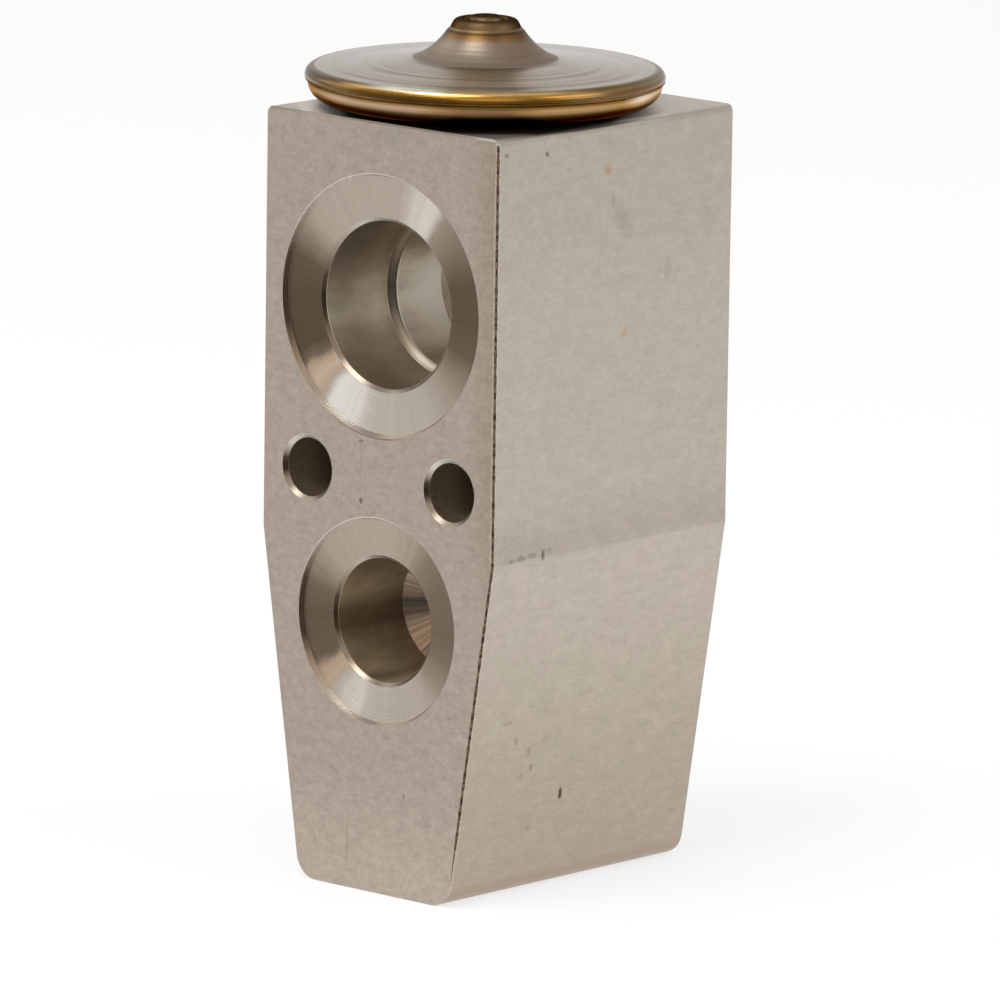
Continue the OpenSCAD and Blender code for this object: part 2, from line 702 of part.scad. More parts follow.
valve_body();
upper_cover();
charge_plug();
diaphragm();
lower_cover();
head_o_ring();
stopper();
sensing_rod();
rod_o_ring();
seal_washer();
retaining_ring();
push_pin();
valve_ball();
ball_holder();
damping_spring();
bias_spring();
adjusting_screw();
adjuster_o_ring();
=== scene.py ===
# %% [markdown]
# # Block expansion valve, dressed for its picture
# The solids come from CAD and carry every real size. This script gives them their
# metals, adds the few small forms that CAD leaves out, and sets up floor, light and camera.
# The solids stay where they are, so each finish can be worked out in their own millimetres.

import bpy
import numpy as np
from mathutils import Matrix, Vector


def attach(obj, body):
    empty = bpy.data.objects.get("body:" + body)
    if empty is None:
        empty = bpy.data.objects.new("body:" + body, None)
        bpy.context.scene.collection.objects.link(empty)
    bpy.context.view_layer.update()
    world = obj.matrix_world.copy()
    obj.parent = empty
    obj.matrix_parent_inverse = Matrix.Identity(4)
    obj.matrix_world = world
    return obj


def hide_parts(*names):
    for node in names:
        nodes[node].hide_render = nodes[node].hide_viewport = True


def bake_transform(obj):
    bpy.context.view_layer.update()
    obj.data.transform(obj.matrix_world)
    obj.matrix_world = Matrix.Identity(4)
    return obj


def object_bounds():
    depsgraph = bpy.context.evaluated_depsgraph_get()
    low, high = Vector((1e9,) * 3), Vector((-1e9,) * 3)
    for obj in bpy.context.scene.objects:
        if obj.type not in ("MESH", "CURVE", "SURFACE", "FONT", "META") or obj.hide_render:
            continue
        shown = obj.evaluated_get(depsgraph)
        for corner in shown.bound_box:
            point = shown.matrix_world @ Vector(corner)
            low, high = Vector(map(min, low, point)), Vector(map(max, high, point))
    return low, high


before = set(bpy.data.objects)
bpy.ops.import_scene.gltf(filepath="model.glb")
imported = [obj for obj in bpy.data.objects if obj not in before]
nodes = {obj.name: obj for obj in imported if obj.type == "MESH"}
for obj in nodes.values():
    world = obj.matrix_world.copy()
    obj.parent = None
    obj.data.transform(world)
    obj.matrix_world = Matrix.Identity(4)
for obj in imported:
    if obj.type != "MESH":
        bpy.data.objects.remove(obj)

MM = 0.001
solid_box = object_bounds()
box_mm = [[round(v / MM, 2) for v in corner] for corner in solid_box]
print("loaded", len(nodes), "nodes, box in mm", box_mm)

# %% [markdown]
# ## Camera
# The view was found by fitting a pinhole camera to the corners, ports and holes of the block:
# a long lens, 42 degrees round to the right and 11 degrees up, rolled by less than a degree.
# A camera matrix is built from its right, up and back directions, which keeps the roll exact.

# %% Camera at the photograph's place
AZIMUTH, ELEVATION, ROLL = np.radians([42.074, 10.805, 0.830])
DISTANCE = 1.1356
TARGET = np.array([0.73, 2.5, 40.15]) * MM
CLIP_START, CLIP_END = 0.01, 50
FOCAL_PIXELS, IMAGE_PIXELS, SENSOR_MM = 10626.7, 1000, 36.0


def camera_axes(azimuth, elevation, roll):
    """Right, up and back of a camera.

    Back points from the target to the camera: (sin a cos e, -cos a cos e, sin e).
    Right lies level, and roll turns right and up about back.
    """
    level = np.cos(elevation)
    back = np.array([np.sin(azimuth) * level, -np.cos(azimuth) * level, np.sin(elevation)])
    right = np.array([np.cos(azimuth), np.sin(azimuth), 0.0])
    up = np.cross(back, right)
    turned_right = np.cos(roll) * right + np.sin(roll) * up
    turned_up = -np.sin(roll) * right + np.cos(roll) * up
    return turned_right, turned_up, back


right, up, back = camera_axes(AZIMUTH, ELEVATION, ROLL)
view = bpy.data.cameras.new("view")
view.sensor_width = SENSOR_MM
view.lens = FOCAL_PIXELS * SENSOR_MM / IMAGE_PIXELS
view.clip_start, view.clip_end = CLIP_START, CLIP_END
camera = bpy.data.objects.new("camera", view)
bpy.context.collection.objects.link(camera)
matrix = np.eye(4)
matrix[:3, 0], matrix[:3, 1], matrix[:3, 2] = right, up, back
matrix[:3, 3] = TARGET + DISTANCE * back
camera.matrix_world = Matrix(matrix.tolist())
bpy.context.scene.camera = camera
print("camera at", np.round(matrix[:3, 3], 3), "lens", round(view.lens, 1), "mm")

# %% [markdown]
# ## Node expressions
# A finish here is a formula of the place on the part: the distance from a port's axis,
# the angle round it, the height above the foot. Blender writes formulas as Math nodes.
# Wrapping a socket in a small class lets Python's own operators add those nodes,
# so a mask reads like the sum it is. Colours and vectors have nodes of their own kind.

# %% Sockets that can be added and multiplied
class Wire:
    """A node's output socket. Arithmetic on it adds Math nodes, and add() makes any other node."""

    def __init__(self, socket):
        self.socket, self.tree = socket, socket.id_data

    def add(self, kind, settings, inputs, out=0):
        """Makes a node: its settings first, then values or links of sockets. Returns an output."""
        node = self.tree.nodes.new(kind)
        for name, value in settings.items():
            if name == "stops":
                ramp = node.color_ramp
                while len(ramp.elements) < len(value):
                    ramp.elements.new(0.5)
                for element, (place, colour) in zip(ramp.elements, value):
                    element.position, element.color = place, colour
            elif name == "interpolation":
                node.color_ramp.interpolation = value
            else:
                setattr(node, name, value)
        for key, value in inputs.items():
            if isinstance(value, Wire):
                self.tree.links.new(value.socket, node.inputs[key])
            else:
                node.inputs[key].default_value = value
        return Wire(node.outputs[out])

    def math(self, operation, *values):
        return self.add("ShaderNodeMath", {"operation": operation}, dict(enumerate(values)))

    def __add__(self, other): return self.math("ADD", self, other)
    def __radd__(self, other): return self.math("ADD", other, self)
    def __sub__(self, other): return self.math("SUBTRACT", self, other)
    def __rsub__(self, other): return self.math("SUBTRACT", other, self)
    def __mul__(self, other): return self.math("MULTIPLY", self, other)
    def __rmul__(self, other): return self.math("MULTIPLY", other, self)
    def __truediv__(self, other): return self.math("DIVIDE", self, other)
    def __rtruediv__(self, other): return self.math("DIVIDE", other, self)
    def __pow__(self, other): return self.math("POWER", self, other)
    def __abs__(self): return self.math("ABSOLUTE", self)
    def __neg__(self): return self.math("MULTIPLY", self, -1.0)

    def parts(self):
        """The three numbers of a vector."""
        node = self.add("ShaderNodeSeparateXYZ", {}, {0: self}).socket.node
        return [Wire(socket) for socket in node.outputs]

    def vector(self, x, y, z):
        return self.add("ShaderNodeCombineXYZ", {}, {0: x, 1: y, 2: z})

    def vmath(self, operation, *values):
        return self.add("ShaderNodeVectorMath", {"operation": operation}, dict(enumerate(values)))

    def scaled(self, factor):
        return self.add("ShaderNodeVectorMath", {"operation": "SCALE"}, {0: self, "Scale": factor})

    def step(self, low, high):
        """0 below low, 1 above high and a soft rise between. It falls where low is the larger."""
        return self.add("ShaderNodeMapRange", {"interpolation_type": "SMOOTHSTEP"}, {
            "Value": self, "From Min": low, "From Max": high, "To Min": 0.0, "To Max": 1.0})

    def band(self, low, high, soft):
        """1 between low and high, with soft edges."""
        return self.step(low - soft, low + soft) * self.step(high + soft, high - soft)

    def blend(self, first, second):
        """Colour first where this mask is 0, second where it is 1."""
        return self.add("ShaderNodeMix", {"data_type": "RGBA", "clamp_factor": True},
                        {0: self, 6: first, 7: second}, out=2)

    def shade(self, colour):
        """A colour times this number, or times this colour."""
        return self.add("ShaderNodeMix", {"data_type": "RGBA", "blend_type": "MULTIPLY"},
                        {0: 1.0, 6: colour, 7: self}, out=2)

    def root(self):
        return self.math("SQRT", self)

    def degrees_from(self, other):
        """The angle in degrees of the direction that goes other along and self up."""
        return self.math("ARCTAN2", self, other) * (180 / np.pi)

    def ramp(self, stops, interpolation="LINEAR"):
        settings = {"stops": stops, "interpolation": interpolation}
        return self.add("ShaderNodeValToRGB", settings, {0: self})


# %% [markdown]
# ## Colours and noises
# Colours are read off a screen as 8-bit numbers, but light adds up on a linear scale, so they
# are converted once. The part's places are in millimetres, so a noise with a stretch
# of 9 by 0.1 gives marks a tenth of a millimetre wide and some ten millimetres long.

# %% Colours and noises
def srgb(red, green, blue):
    """Linear colour of an 8-bit screen colour: ((share + 0.055) / 1.055) to the power 2.4."""
    share = np.array([red, green, blue]) / 255
    linear = np.where(share <= 0.04045, share / 12.92, ((share + 0.055) / 1.055) ** 2.4)
    return (*linear.tolist(), 1.0)


def noise(place, detail=2.0, roughness=0.5):
    """Smooth noise of a place, from 0 to 1 and mostly near one half."""
    return place.add("ShaderNodeTexNoise", {}, {
        "Vector": place, "Scale": 1.0, "Detail": detail, "Roughness": roughness})


def line_noise(value, detail=1.0):
    """Smooth noise of one number, for rings and lines."""
    return value.add("ShaderNodeTexNoise", {"noise_dimensions": "1D"}, {
        "W": value, "Scale": 1.0, "Detail": detail})


def new_finish(name, **fixed):
    """A material with a Principled shader. Returns it, the place in mm, normal and shader."""
    made = bpy.data.materials.new(name)
    made.use_nodes = True
    tree = made.node_tree
    tree.nodes.clear()
    output = tree.nodes.new("ShaderNodeOutputMaterial")
    shader = tree.nodes.new("ShaderNodeBsdfPrincipled")
    tree.links.new(shader.outputs[0], output.inputs[0])
    for key, value in fixed.items():
        shader.inputs[key.replace("_", " ")].default_value = value
    place = Wire(tree.nodes.new("ShaderNodeTexCoord").outputs["Object"]).scaled(1 / MM)
    normal = Wire(tree.nodes.new("ShaderNodeNewGeometry").outputs["Normal"])
    return made, place, normal, shader


def feed(shader, key, wire):
    wire.tree.links.new(wire.socket, shader.inputs[key])


def tilted(normal, *pushes):
    """The normal pushed along some directions, each by its own amount, and made unit long."""
    for direction, amount in pushes:
        normal = normal.vmath("ADD", normal, direction.scaled(amount))
    return normal.vmath("NORMALIZE", normal)


# %% [markdown]
# ## The block's aluminium
# The real block is a length of extruded bar. Its ends, front and back here, are milled, its flanks
# keep fine lines from the press, and the ports are turned with a boring head.
# Turned metal shows a bow tie of light, because each fine ring leans its own way across the ring.
# The ports get that from normals that lean outwards by a noise of the radius, and from a painted
# sheen: a tone that follows the angle round the port, with painted highlights and painted shade.
# The tone runs over a few levels from dark to light, and darker metal is painted warmer, as a
# painted reflection of the shaded room.

# %% Sizes of the block that its finish follows
FRONT_Y, BACK_Y, TOP_Z = -16.0, 21.1, 82.8
FLANK_X, BEND_Z, FOOT_X = 16.5, 37.6, 10.75
FLANK_SLOPE = (FLANK_X - FOOT_X) / BEND_Z
# Height of each port's axis, radius of its lip, its bore and what follows behind the bore's step
SUCTION = {"z": 63.2, "lip": 14.05, "bore": 8.95, "core": 8.15}
OUTLET = {"z": 29.3, "lip": 11.2, "bore": 6.7}
INLET = {"z": 22.0, "lip": 11.2, "bore": 6.7}
DISH_LEAN, MOUTH = 0.3, 0.4
BOLT_X, BOLT_Z, BOLT_R, BOLT_MOUTH = 10.2, 44.6, 3.15, 3.6

FRONT_TONE, FRONT_FOOT_TONE = srgb(175, 162, 152), srgb(186, 174, 162)
FRONT_EDGE_TONE = srgb(162, 149, 135)
FLANK_TOP_TONE, FLANK_TONE, BAND_TONE = srgb(186, 178, 167), srgb(191, 182, 172), srgb(184, 174, 163)
FACET_TONE, FACET_FOOT_TONE = srgb(193, 183, 172), srgb(182, 170, 156)
TOP_TONE, SHADE_TONE, EDGE_TONE = srgb(217, 208, 201), srgb(96, 86, 68), srgb(150, 139, 124)
BURR_TONE, DARK_MARK_TONE, RUST_TONE = srgb(104, 78, 64), srgb(74, 52, 36), srgb(186, 140, 100)
FOOT_ROUND_TONE, TOP_GLINT_TONE = srgb(176, 156, 136), srgb(226, 216, 203)
EDGE_HIGHLIGHT_TONE, LIP_GLINT_TONE = srgb(224, 212, 198), srgb(232, 222, 210)

# %% Painted sheen of turned metal
LEVELS = [-0.5, 0.0, 0.5, 1.0, 1.2]
LEVEL_TONES = np.array([
    [48, 39, 27], [88, 75, 61], [156, 143, 129], [224, 218, 209], [252, 250, 244]])


def painted_sheen_tone(level):
    """Colour of turned metal at a level of painted light, on straight lines between five tones."""
    return srgb(*[np.interp(level, LEVELS, LEVEL_TONES[:, k]) for k in range(3)])


def round_port(degrees, stops):
    """Painted sheen by the angle round a port: -180 and 180 are 9 o'clock, -90 is 6, 0 is 3 and 90
    is 12.
    """
    share = degrees / 360 + 0.5
    return share.ramp([((place + 180) / 360, painted_sheen_tone(level)) for place, level in stops])


# Each list holds pairs of angle and level of painted light round a port or a bolt hole
FLOOR_SHEEN = [
    (-180, 0.01), (-166, 0.02), (-152, 0.02), (-145, 0.24), (-137, 0.74), (-130, 0.60),
    (-124, 1.06), (-108, 1.02), (-98, 0.80), (-62, 0.72), (-40, 0.52), (-20, 0.11), (0, 0.03),
    (18, 0.04), (38, 0.30), (50, 0.45), (57, 0.88), (69, 0.82), (80, 0.62), (130, 0.62),
    (141, 0.58), (150, 0.40), (162, 0.08), (180, 0.01)]
SMALL_SHEEN = [
    (-180, 0.07), (-164, 0.10), (-150, 0.12), (-141, 0.48), (-130, 0.62), (-121, 0.85),
    (-110, 0.92), (-99, 0.76), (-50, 0.65), (-34, 0.43), (-18, 0.23), (0, 0.16), (30, 0.20),
    (50, 0.32), (62, 0.52), (80, 0.60), (100, 0.61), (138, 0.57), (152, 0.42), (164, 0.17),
    (180, 0.09)]
MOUTH_SHEEN = [
    (-180, -0.50), (-165, -0.42), (-150, 0.06), (-135, 0.24), (-120, 0.34), (-105, 0.50),
    (-90, 0.38), (-60, 0.60), (0, 0.40), (30, 0.47), (60, 1.07), (90, 1.2), (120, 0.74),
    (135, 0.58), (152, 0.35), (166, -0.20), (180, -0.50)]
WALL_SHEEN = [
    (-180, -0.28), (-165, -0.02), (-150, 0.35), (-138, 0.81), (-122, 0.99), (-100, 0.76),
    (-60, 0.47), (0, 0.09), (60, 0.52), (110, 1.15), (135, 0.97), (148, 0.57), (162, -0.05),
    (180, -0.28)]
STEP_SHEEN = [
    (-180, -0.42), (-165, -0.13), (-150, 0.38), (-135, 0.76), (-120, 1.2), (-105, 1.11),
    (-60, 0.79), (0, 0.28), (90, 0.44), (135, 0.38), (150, 0.34), (165, 0.0), (180, -0.42)]
BORE_SHEEN = [
    (-180, 0.60), (-165, 0.72), (-150, 0.50), (-135, 0.33), (-110, 0.14), (-80, 0.12), (-50, 0.9),
    (50, 0.9), (85, 0.12), (120, 0.08), (150, 0.15), (165, 0.38), (180, 0.60)]
NARROW_SHEEN = [
    (-180, 0.12), (-165, 0.02), (-150, 0.30), (-135, 0.30), (-120, 0.36), (-105, 0.10),
    (-90, 0.46), (-40, 0.40), (90, 0.20), (120, 0.25), (135, 0.29), (150, 0.42), (163, 0.54),
    (172, 0.33), (180, 0.16)]
CORE_SHEEN = [
    (-180, 1.15), (-165, 1.2), (-150, 1.05), (-135, 0.90), (-120, 0.60), (-90, 0.5), (0, 0.7),
    (90, 0.4), (135, 0.4), (150, 0.58), (165, 1.08), (180, 1.15)]
CONE_SHEEN = [
    (-180, -0.30), (-168, 0.1), (-155, 0.6), (-140, 1.0), (-120, 0.8), (-60, 0.6), (0, 0.4),
    (90, 0.5), (130, 0.80), (150, 0.95), (165, 0.60), (180, -0.20)]
BOLT_SHEEN = [
    (-180, -0.48), (-168, -0.48), (-150, 0.25), (-138, 0.26), (-120, 0.50), (-100, 0.56),
    (-60, 0.44), (0, 0.27), (40, 0.62), (60, 1.15), (90, 1.2), (110, 1.0), (135, 0.92),
    (150, 0.63), (168, -0.15), (180, -0.48)]
COPPER_HIGHLIGHT_TONE, BOLT_TONE = srgb(212, 176, 142), srgb(142, 122, 96)
BORE_TINT, STEP_TINT, CORE_TINT = (0.90, 0.88, 0.80), (0.96, 0.87, 0.72), (1.0, 0.94, 0.86)
NARROW_TINT, CONE_TINT = (0.93, 0.86, 0.68), (1.1, 0.92, 0.74)

# %% Finish of the block
block_look, place, normal, shader = new_finish("block_aluminium_look")
x, y, z = place.parts()
nx, ny, nz = normal.parts()
facing_y, facing_x, facing_z = abs(ny).step(0.6, 0.9), abs(nx).step(0.6, 0.9), abs(nz).step(0.6, 0.9)

# Milled cloth and lines on front and back, press lines from front to back on the flanks
cloth = noise(place.vector(x * 0.62, y * 0.62, z * 0.9), detail=4, roughness=0.86)
across = noise(place.vector(x * 0.22, y * 0.5, z * 5.0), detail=2)
press = noise(place.vector(x * 0.4, y * 0.45, z * 0.85), detail=4, roughness=0.95)
along = noise(place.vector(x * 0.4, y * 0.09, z * 2.6), detail=3, roughness=0.6)
clouds = noise(place.scaled(0.16), detail=3)
ragged = noise(place.scaled(5.0), detail=3, roughness=0.8).step(0.25, 0.75)
below_bend = z.step(BEND_Z + 0.2, BEND_Z - 0.3)
near_right = x.step(11.5, 16.6) * z.step(30.0, 44.0)

# Each face keeps a tone of its own machining, and part of the difference is painted light: the front
# is painted lighter towards its foot and darker near its right edge, the flank lighter near its top
# and in a band above the bend, the facet darker towards its foot, and the top lighter than the
# sides.
front_tone = z.step(15.0, 0.0).blend(FRONT_TONE, FRONT_FOOT_TONE)
front_tone = (0.9 * near_right).blend(front_tone, FRONT_EDGE_TONE)
flank_tone = z.step(60.0, 78.0).blend(FLANK_TONE, FLANK_TOP_TONE)
flank_tone = (z.step(BEND_Z + 6.5, BEND_Z + 1.5)).blend(flank_tone, BAND_TONE)
facet_tone = (z / BEND_Z).step(0.95, 0.15).blend(FACET_TONE, FACET_FOOT_TONE)
flank_tone = below_bend.blend(flank_tone, facet_tone)
tone = facing_x.blend(facing_y.blend(TOP_TONE, front_tone), flank_tone)

edge_lines = noise(place.vector(x * 6.0, 0.0, z * 0.22), detail=2, roughness=0.7)
edge_zone = x.step(12.8, 15.5) * facing_y
marks = (1 + 0.78 * facing_y * (cloth - 0.5) + 0.16 * facing_y * (across - 0.5)
         + 0.40 * edge_zone * (edge_lines - 0.5)
         + 0.54 * facing_x * (press - 0.5) + 0.14 * facing_x * (along - 0.5)
         + 0.30 * facing_z * (cloth - 0.5) + 0.08 * (clouds - 0.5))
tone = marks.shade(tone)
hue = noise(place.scaled(0.3), detail=3, roughness=0.6).step(0.3, 0.7)
tone = hue.blend((0.98, 1.0, 0.972, 1.0), (1.0, 0.982, 0.968, 1.0)).shade(tone)

# %% [markdown]
# The block's top is bright at its corners and painted black in the gap under the power head, a
# painted shadow.
# Its rounded edges get painted shade, and a ragged strip along the front's right edge gets a painted
# highlight.

# %% Top face and edges
from_axis = (x * x + y * y).root()
towards_viewer = (x * 0.62 - y * 0.78).step(4.0, 15.0)
gap_reach = 15.4 + 3.6 * towards_viewer
# Painted shadow: the top goes black under the power head, reaching further on the viewer's side.
gap_shadow = (from_axis - gap_reach).step(0.5, -0.6) * z.step(TOP_Z - 0.3, TOP_Z - 0.02)
tone = (0.96 * gap_shadow).blend(tone, SHADE_TONE)
on_top = z.step(TOP_Z - 0.3, TOP_Z - 0.02)
beside_head = from_axis.band(15.2, 19.8, 0.5) * on_top * (1 - towards_viewer)
# Painted shade: the rounded top edges are darker.
on_round = z.step(TOP_Z - 0.5, TOP_Z - 0.1) * (1 - facing_z) * (1 - facing_y)
tone = (0.7 * on_round).blend(tone, EDGE_TONE)
# Painted shade: the rounded foot is darker.
foot_round = z.step(2.6, 1.0) * (1 - facing_y)
tone = (0.85 * foot_round).blend(tone, FOOT_ROUND_TONE)
# Painted shade: a darker line along the front's top edge, with a painted highlight near its right
# corner.
top_line = z.step(TOP_Z - 0.35, TOP_Z - 0.12) * facing_y
tone = (0.75 * top_line * x.step(13.5, 11.5)).blend(tone, EDGE_TONE)
tone = (0.6 * top_line * x.step(13.0, 14.5)).blend(tone, TOP_GLINT_TONE)
# Painted highlight: a ragged pale strip on both sides of the front's right edge, beside the burr.
edge_highlight = (facing_x * y.step(FRONT_Y + 0.5, FRONT_Y + 0.25)
          + facing_y * x.band(16.1, 16.4, 0.06) * z.step(BEND_Z, BEND_Z + 0.4))
tone = (0.5 * edge_highlight * ragged.step(0.35, 0.6)).blend(tone, EDGE_HIGHLIGHT_TONE)

# %% [markdown]
# Each port is known by the distance from its axis and the angle round it. The same few masks
# then find the steep wall at its lip, the turned floor, the chamfer of the socket and the bore.
# The back ports use the angle seen from behind, so their painted sheen lies the same way as in
# front.

# %% Turned ports
at_front = y.step(2.5, 2.4)
side_sign = 2 * at_front - 1
seen_x = x * side_sign


def turned_port(port, only):
    """Masks of one port, its angle in degrees, and the direction away from its axis."""
    up_from_axis = z - port["z"]
    radius = (x * x + up_from_axis * up_from_axis).root()
    degrees = up_from_axis.degrees_from(seen_x)
    away = place.vector(x / radius, 0.0, up_from_axis / radius)
    inside = radius.step(port["lip"] + 0.02, port["lip"] - 0.02) * only
    wall = radius.band(port["lip"] - DISH_LEAN, port["lip"] + 0.02, 0.02) * only
    floor = radius.band(port["bore"] + MOUTH, port["lip"] - DISH_LEAN, 0.02) * only
    mouth = radius.band(port["bore"] + 0.03, port["bore"] + MOUTH, 0.02) * only
    bore = radius.step(port["bore"] + 0.05, port["bore"] + 0.03) * only
    return {"radius": radius, "degrees": degrees, "away": away, "inside": inside, "wall": wall,
            "floor": floor, "mouth": mouth, "bore": bore, "lip": port["lip"]}


upper = z.step(46.0, 46.1)
suction_port = turned_port(SUCTION, upper)
outlet_port = turned_port(OUTLET, (1 - upper) * at_front)
inlet_port = turned_port(INLET, (1 - upper) * (1 - at_front))
pushes, rough_inside, in_bores = [], 0.0, 0.0
soft_clouds = noise(place.vector(x * 0.35, y * 0.35, z * 0.35), detail=3, roughness=0.6)
lathe_lines = line_noise(y * 5.0, detail=3)
depth = (y - (BACK_Y + (FRONT_Y - BACK_Y) * at_front)) * side_sign
fine_rings = line_noise(y * 17.0, detail=2)
slanted = abs(ny).step(0.2, 0.3)
PORT_SHEENS = (
    (suction_port, FLOOR_SHEEN), (outlet_port, SMALL_SHEEN), (inlet_port, SMALL_SHEEN))
for port, sheen in PORT_SHEENS:
    rings = line_noise(port["radius"] * 5.0, detail=4)
    micro = line_noise(port["radius"] * 7.0, detail=2)
    drift = port["degrees"] + 9.0 * (soft_clouds - 0.5)
    rays = line_noise(port["degrees"] * 0.22, detail=4)
    floor_tone = (1 + 0.10 * (rings - 0.5) + 0.16 * (rays - 0.5)).shade(round_port(drift, sheen))
    round_place = place.vmath("ADD", port["away"].scaled(5.2), place.vector(0.0, y * 0.16, 0.0))
    streaks = noise(round_place, detail=4, roughness=0.75)
    grain = 0.80 * (streaks - 0.5) + 0.16 * (lathe_lines - 0.5) + 0.3 * (soft_clouds - 0.5)
    if port is suction_port:
        # Painted light: the bore is painted lighter deeper in, the step lighter in its middle and
        # the core lighter towards its far end.
        bore_light = (0.86 + 0.9 * depth.step(4.0, 10.0)) * (1 + grain)
        bore_tone = bore_light.shade(round_port(drift, BORE_SHEEN))
        core = port["radius"].step(SUCTION["core"] + 0.06, SUCTION["core"] + 0.02)
        step = port["radius"].band(SUCTION["core"] + 0.04, SUCTION["bore"] - 0.03, 0.02)
        step_light = 0.75 + 0.5 * port["radius"].band(8.35, 8.7, 0.1)
        bore_tone = place.vector(*BORE_TINT).shade(bore_tone)
        step_tone = place.vector(*STEP_TINT).shade(step_light.shade(round_port(drift, STEP_SHEEN)))
        bore_tone = step.blend(bore_tone, step_tone)
        core_light = 1.0 + 1.1 * grain + 0.55 * depth.step(11.5, 17.0)
        core_tone = core_light.shade(round_port(drift, CORE_SHEEN))
        bore_tone = core.blend(bore_tone, place.vector(*CORE_TINT).shade(core_tone))
    else:
        # Painted light: the narrow bore is painted lighter deeper in, and the drill cone carries
        # painted rays of light.
        bore_light = (1.0 + 0.35 * depth.step(3.0, 9.0)) * (1 + 1.2 * grain)
        bore_tone = bore_light.shade(round_port(drift, NARROW_SHEEN))
        bore_tone = place.vector(*NARROW_TINT).shade(bore_tone)
        cone = slanted * port["radius"].step(port["lip"] * 0.6 - 0.05, port["lip"] * 0.6 - 0.1)
        # Painted highlight: copper-coloured rays at the cone's lower left.
        copper_highlight_ray = 0.55 * abs(drift + 138).step(20, 8)
        ray_tone = copper_highlight_ray.blend(round_port(drift, CONE_SHEEN), COPPER_HIGHLIGHT_TONE)
        ray_tone = (0.1 + 1.6 * rays).shade(ray_tone)
        bore_tone = cone.blend(bore_tone, place.vector(*CONE_TINT).shade(ray_tone))
    for zone, zone_tone in (
            ("floor", floor_tone), ("wall", round_port(drift, WALL_SHEEN)),
            ("mouth", round_port(drift, MOUTH_SHEEN)), ("bore", bore_tone)):
        tone = port[zone].blend(tone, zone_tone)
    # Painted highlight: copper-coloured streaks on the floor and the wall at the lower left.
    copper_highlight = (abs(drift + 137).step(10, 3) * port["floor"] * (0.3 + 1.2 * rays)
              + 0.8 * abs(drift + 142).step(26, 6) * port["wall"])
    tone = (0.5 * copper_highlight).blend(tone, COPPER_HIGHLIGHT_TONE)
    pushes.append((port["away"], (micro - 0.5) * 0.16 * (port["floor"] + port["mouth"])))
    along_axis = (fine_rings - 0.5) * (0.3 * port["bore"] + 0.08 * port["wall"])
    pushes.append((place.vector(0.0, 1.0, 0.0), along_axis))
    rough_inside = port["inside"] + rough_inside
    in_bores = port["bore"] + in_bores

# %% [markdown]
# Use leaves traces: dots, a scribed line, a nick, a rusty speck, pits along the bend. Each is a
# soft round or long mask at its own place on a face, with a ragged outline, and darkens the metal.

# %% Bolt holes, nicks and specks
def speck(across_axis, up_axis, on_face, centre, half, soft=0.5):
    """Mask of a small oval mark.

    Its distance from the centre, counted in half sizes and made ragged by a noise, is under 1.
    """
    u, v = (across_axis - centre[0]) / half[0], (up_axis - centre[1]) / half[1]
    return ((u * u + v * v) * (0.25 + 2.2 * ragged)).step(1 + soft, 1 - soft) * on_face


bolt_x, bolt_up = x - BOLT_X * x.math("SIGN", x), z - BOLT_Z
bolt_radius = (bolt_x * bolt_x + bolt_up * bolt_up).root()
bolt_degrees = bolt_up.degrees_from(bolt_x * side_sign)
bolt_zone = bolt_radius.step(BOLT_MOUTH + 0.03, BOLT_MOUTH - 0.01)
in_bolt = bolt_radius.step(BOLT_R + 0.04, BOLT_R + 0.02)
# Painted sheen round each bolt hole's mouth, and painted light inside: darker at the mouth, lighter
# deeper in.
tone = bolt_zone.blend(tone, round_port(bolt_degrees, BOLT_SHEEN))
bolt_light = (0.30 + 0.4 * depth.step(0.0, 5.0)) * (0.5 + ragged)
tone = in_bolt.blend(tone, bolt_light.shade(BOLT_TONE))
in_bores = in_bores + in_bolt

on_front = facing_y * y.step(FRONT_Y + 0.1, FRONT_Y + 0.05)
on_right = facing_x * x.step(5.0, 6.0)
# Each mark: its centre and half sizes across and up the face, and its strength
FRONT_MARKS = (
    ((-2.4, 42.1), (0.3, 0.34), 0.6), ((-2.5, 45.5), (0.12, 3.2), 0.16),
    ((-3.8, 5.2), (0.14, 3.6), 0.14), ((-2.5, 48.5), (0.5, 0.16), 0.5),
    ((4.3, 11.1), (0.2, 0.3), 0.35), ((8.8, 70.6), (0.2, 0.3), 0.2),
    ((-0.5, 41.0), (0.35, 0.12), 0.25), ((10.5, 20.5), (0.5, 0.12), 0.22))
FLANK_MARKS = (
    ((-14.7, 81.0), (0.38, 0.24), 0.4), ((-8.4, 80.55), (0.3, 0.28), 0.6),
    ((-5.0, 78.6), (0.3, 0.2), 0.2), ((3.3, 72.5), (1.2, 1.4), 0.13),
    ((4.6, 71.0), (1.2, 1.0), 0.1), ((2.2, 74.4), (0.4, 0.9), 0.14),
    ((11.0, 66.0), (0.5, 1.4), 0.12), ((-8.1, 37.9), (0.3, 0.62), 0.6),
    ((-7.2, 38.2), (0.5, 0.35), 0.22), ((-9.8, 38.0), (0.8, 0.36), 0.26),
    ((-11.6, 37.9), (0.8, 0.32), 0.32), ((-13.0, 37.8), (0.5, 0.3), 0.32),
    ((-0.15, 10.3), (0.3, 0.72), 0.9), ((-6.2, 15.9), (0.3, 0.5), 0.24),
    ((-5.5, 14.0), (0.34, 0.4), 0.28), ((-8.45, 17.3), (0.34, 0.45), 0.26),
    ((-3.5, 16.9), (0.9, 0.4), 0.14), ((-4.7, 7.2), (0.3, 0.24), 0.28),
    ((-10.2, 19.6), (1.0, 0.16), 0.16), ((-6.9, 13.2), (0.26, 0.5), 0.14))
RUST_MARKS = (((1.25, 77.8), (0.6, 0.55), 0.6), ((4.2, 60.1), (0.6, 0.5), 0.42))
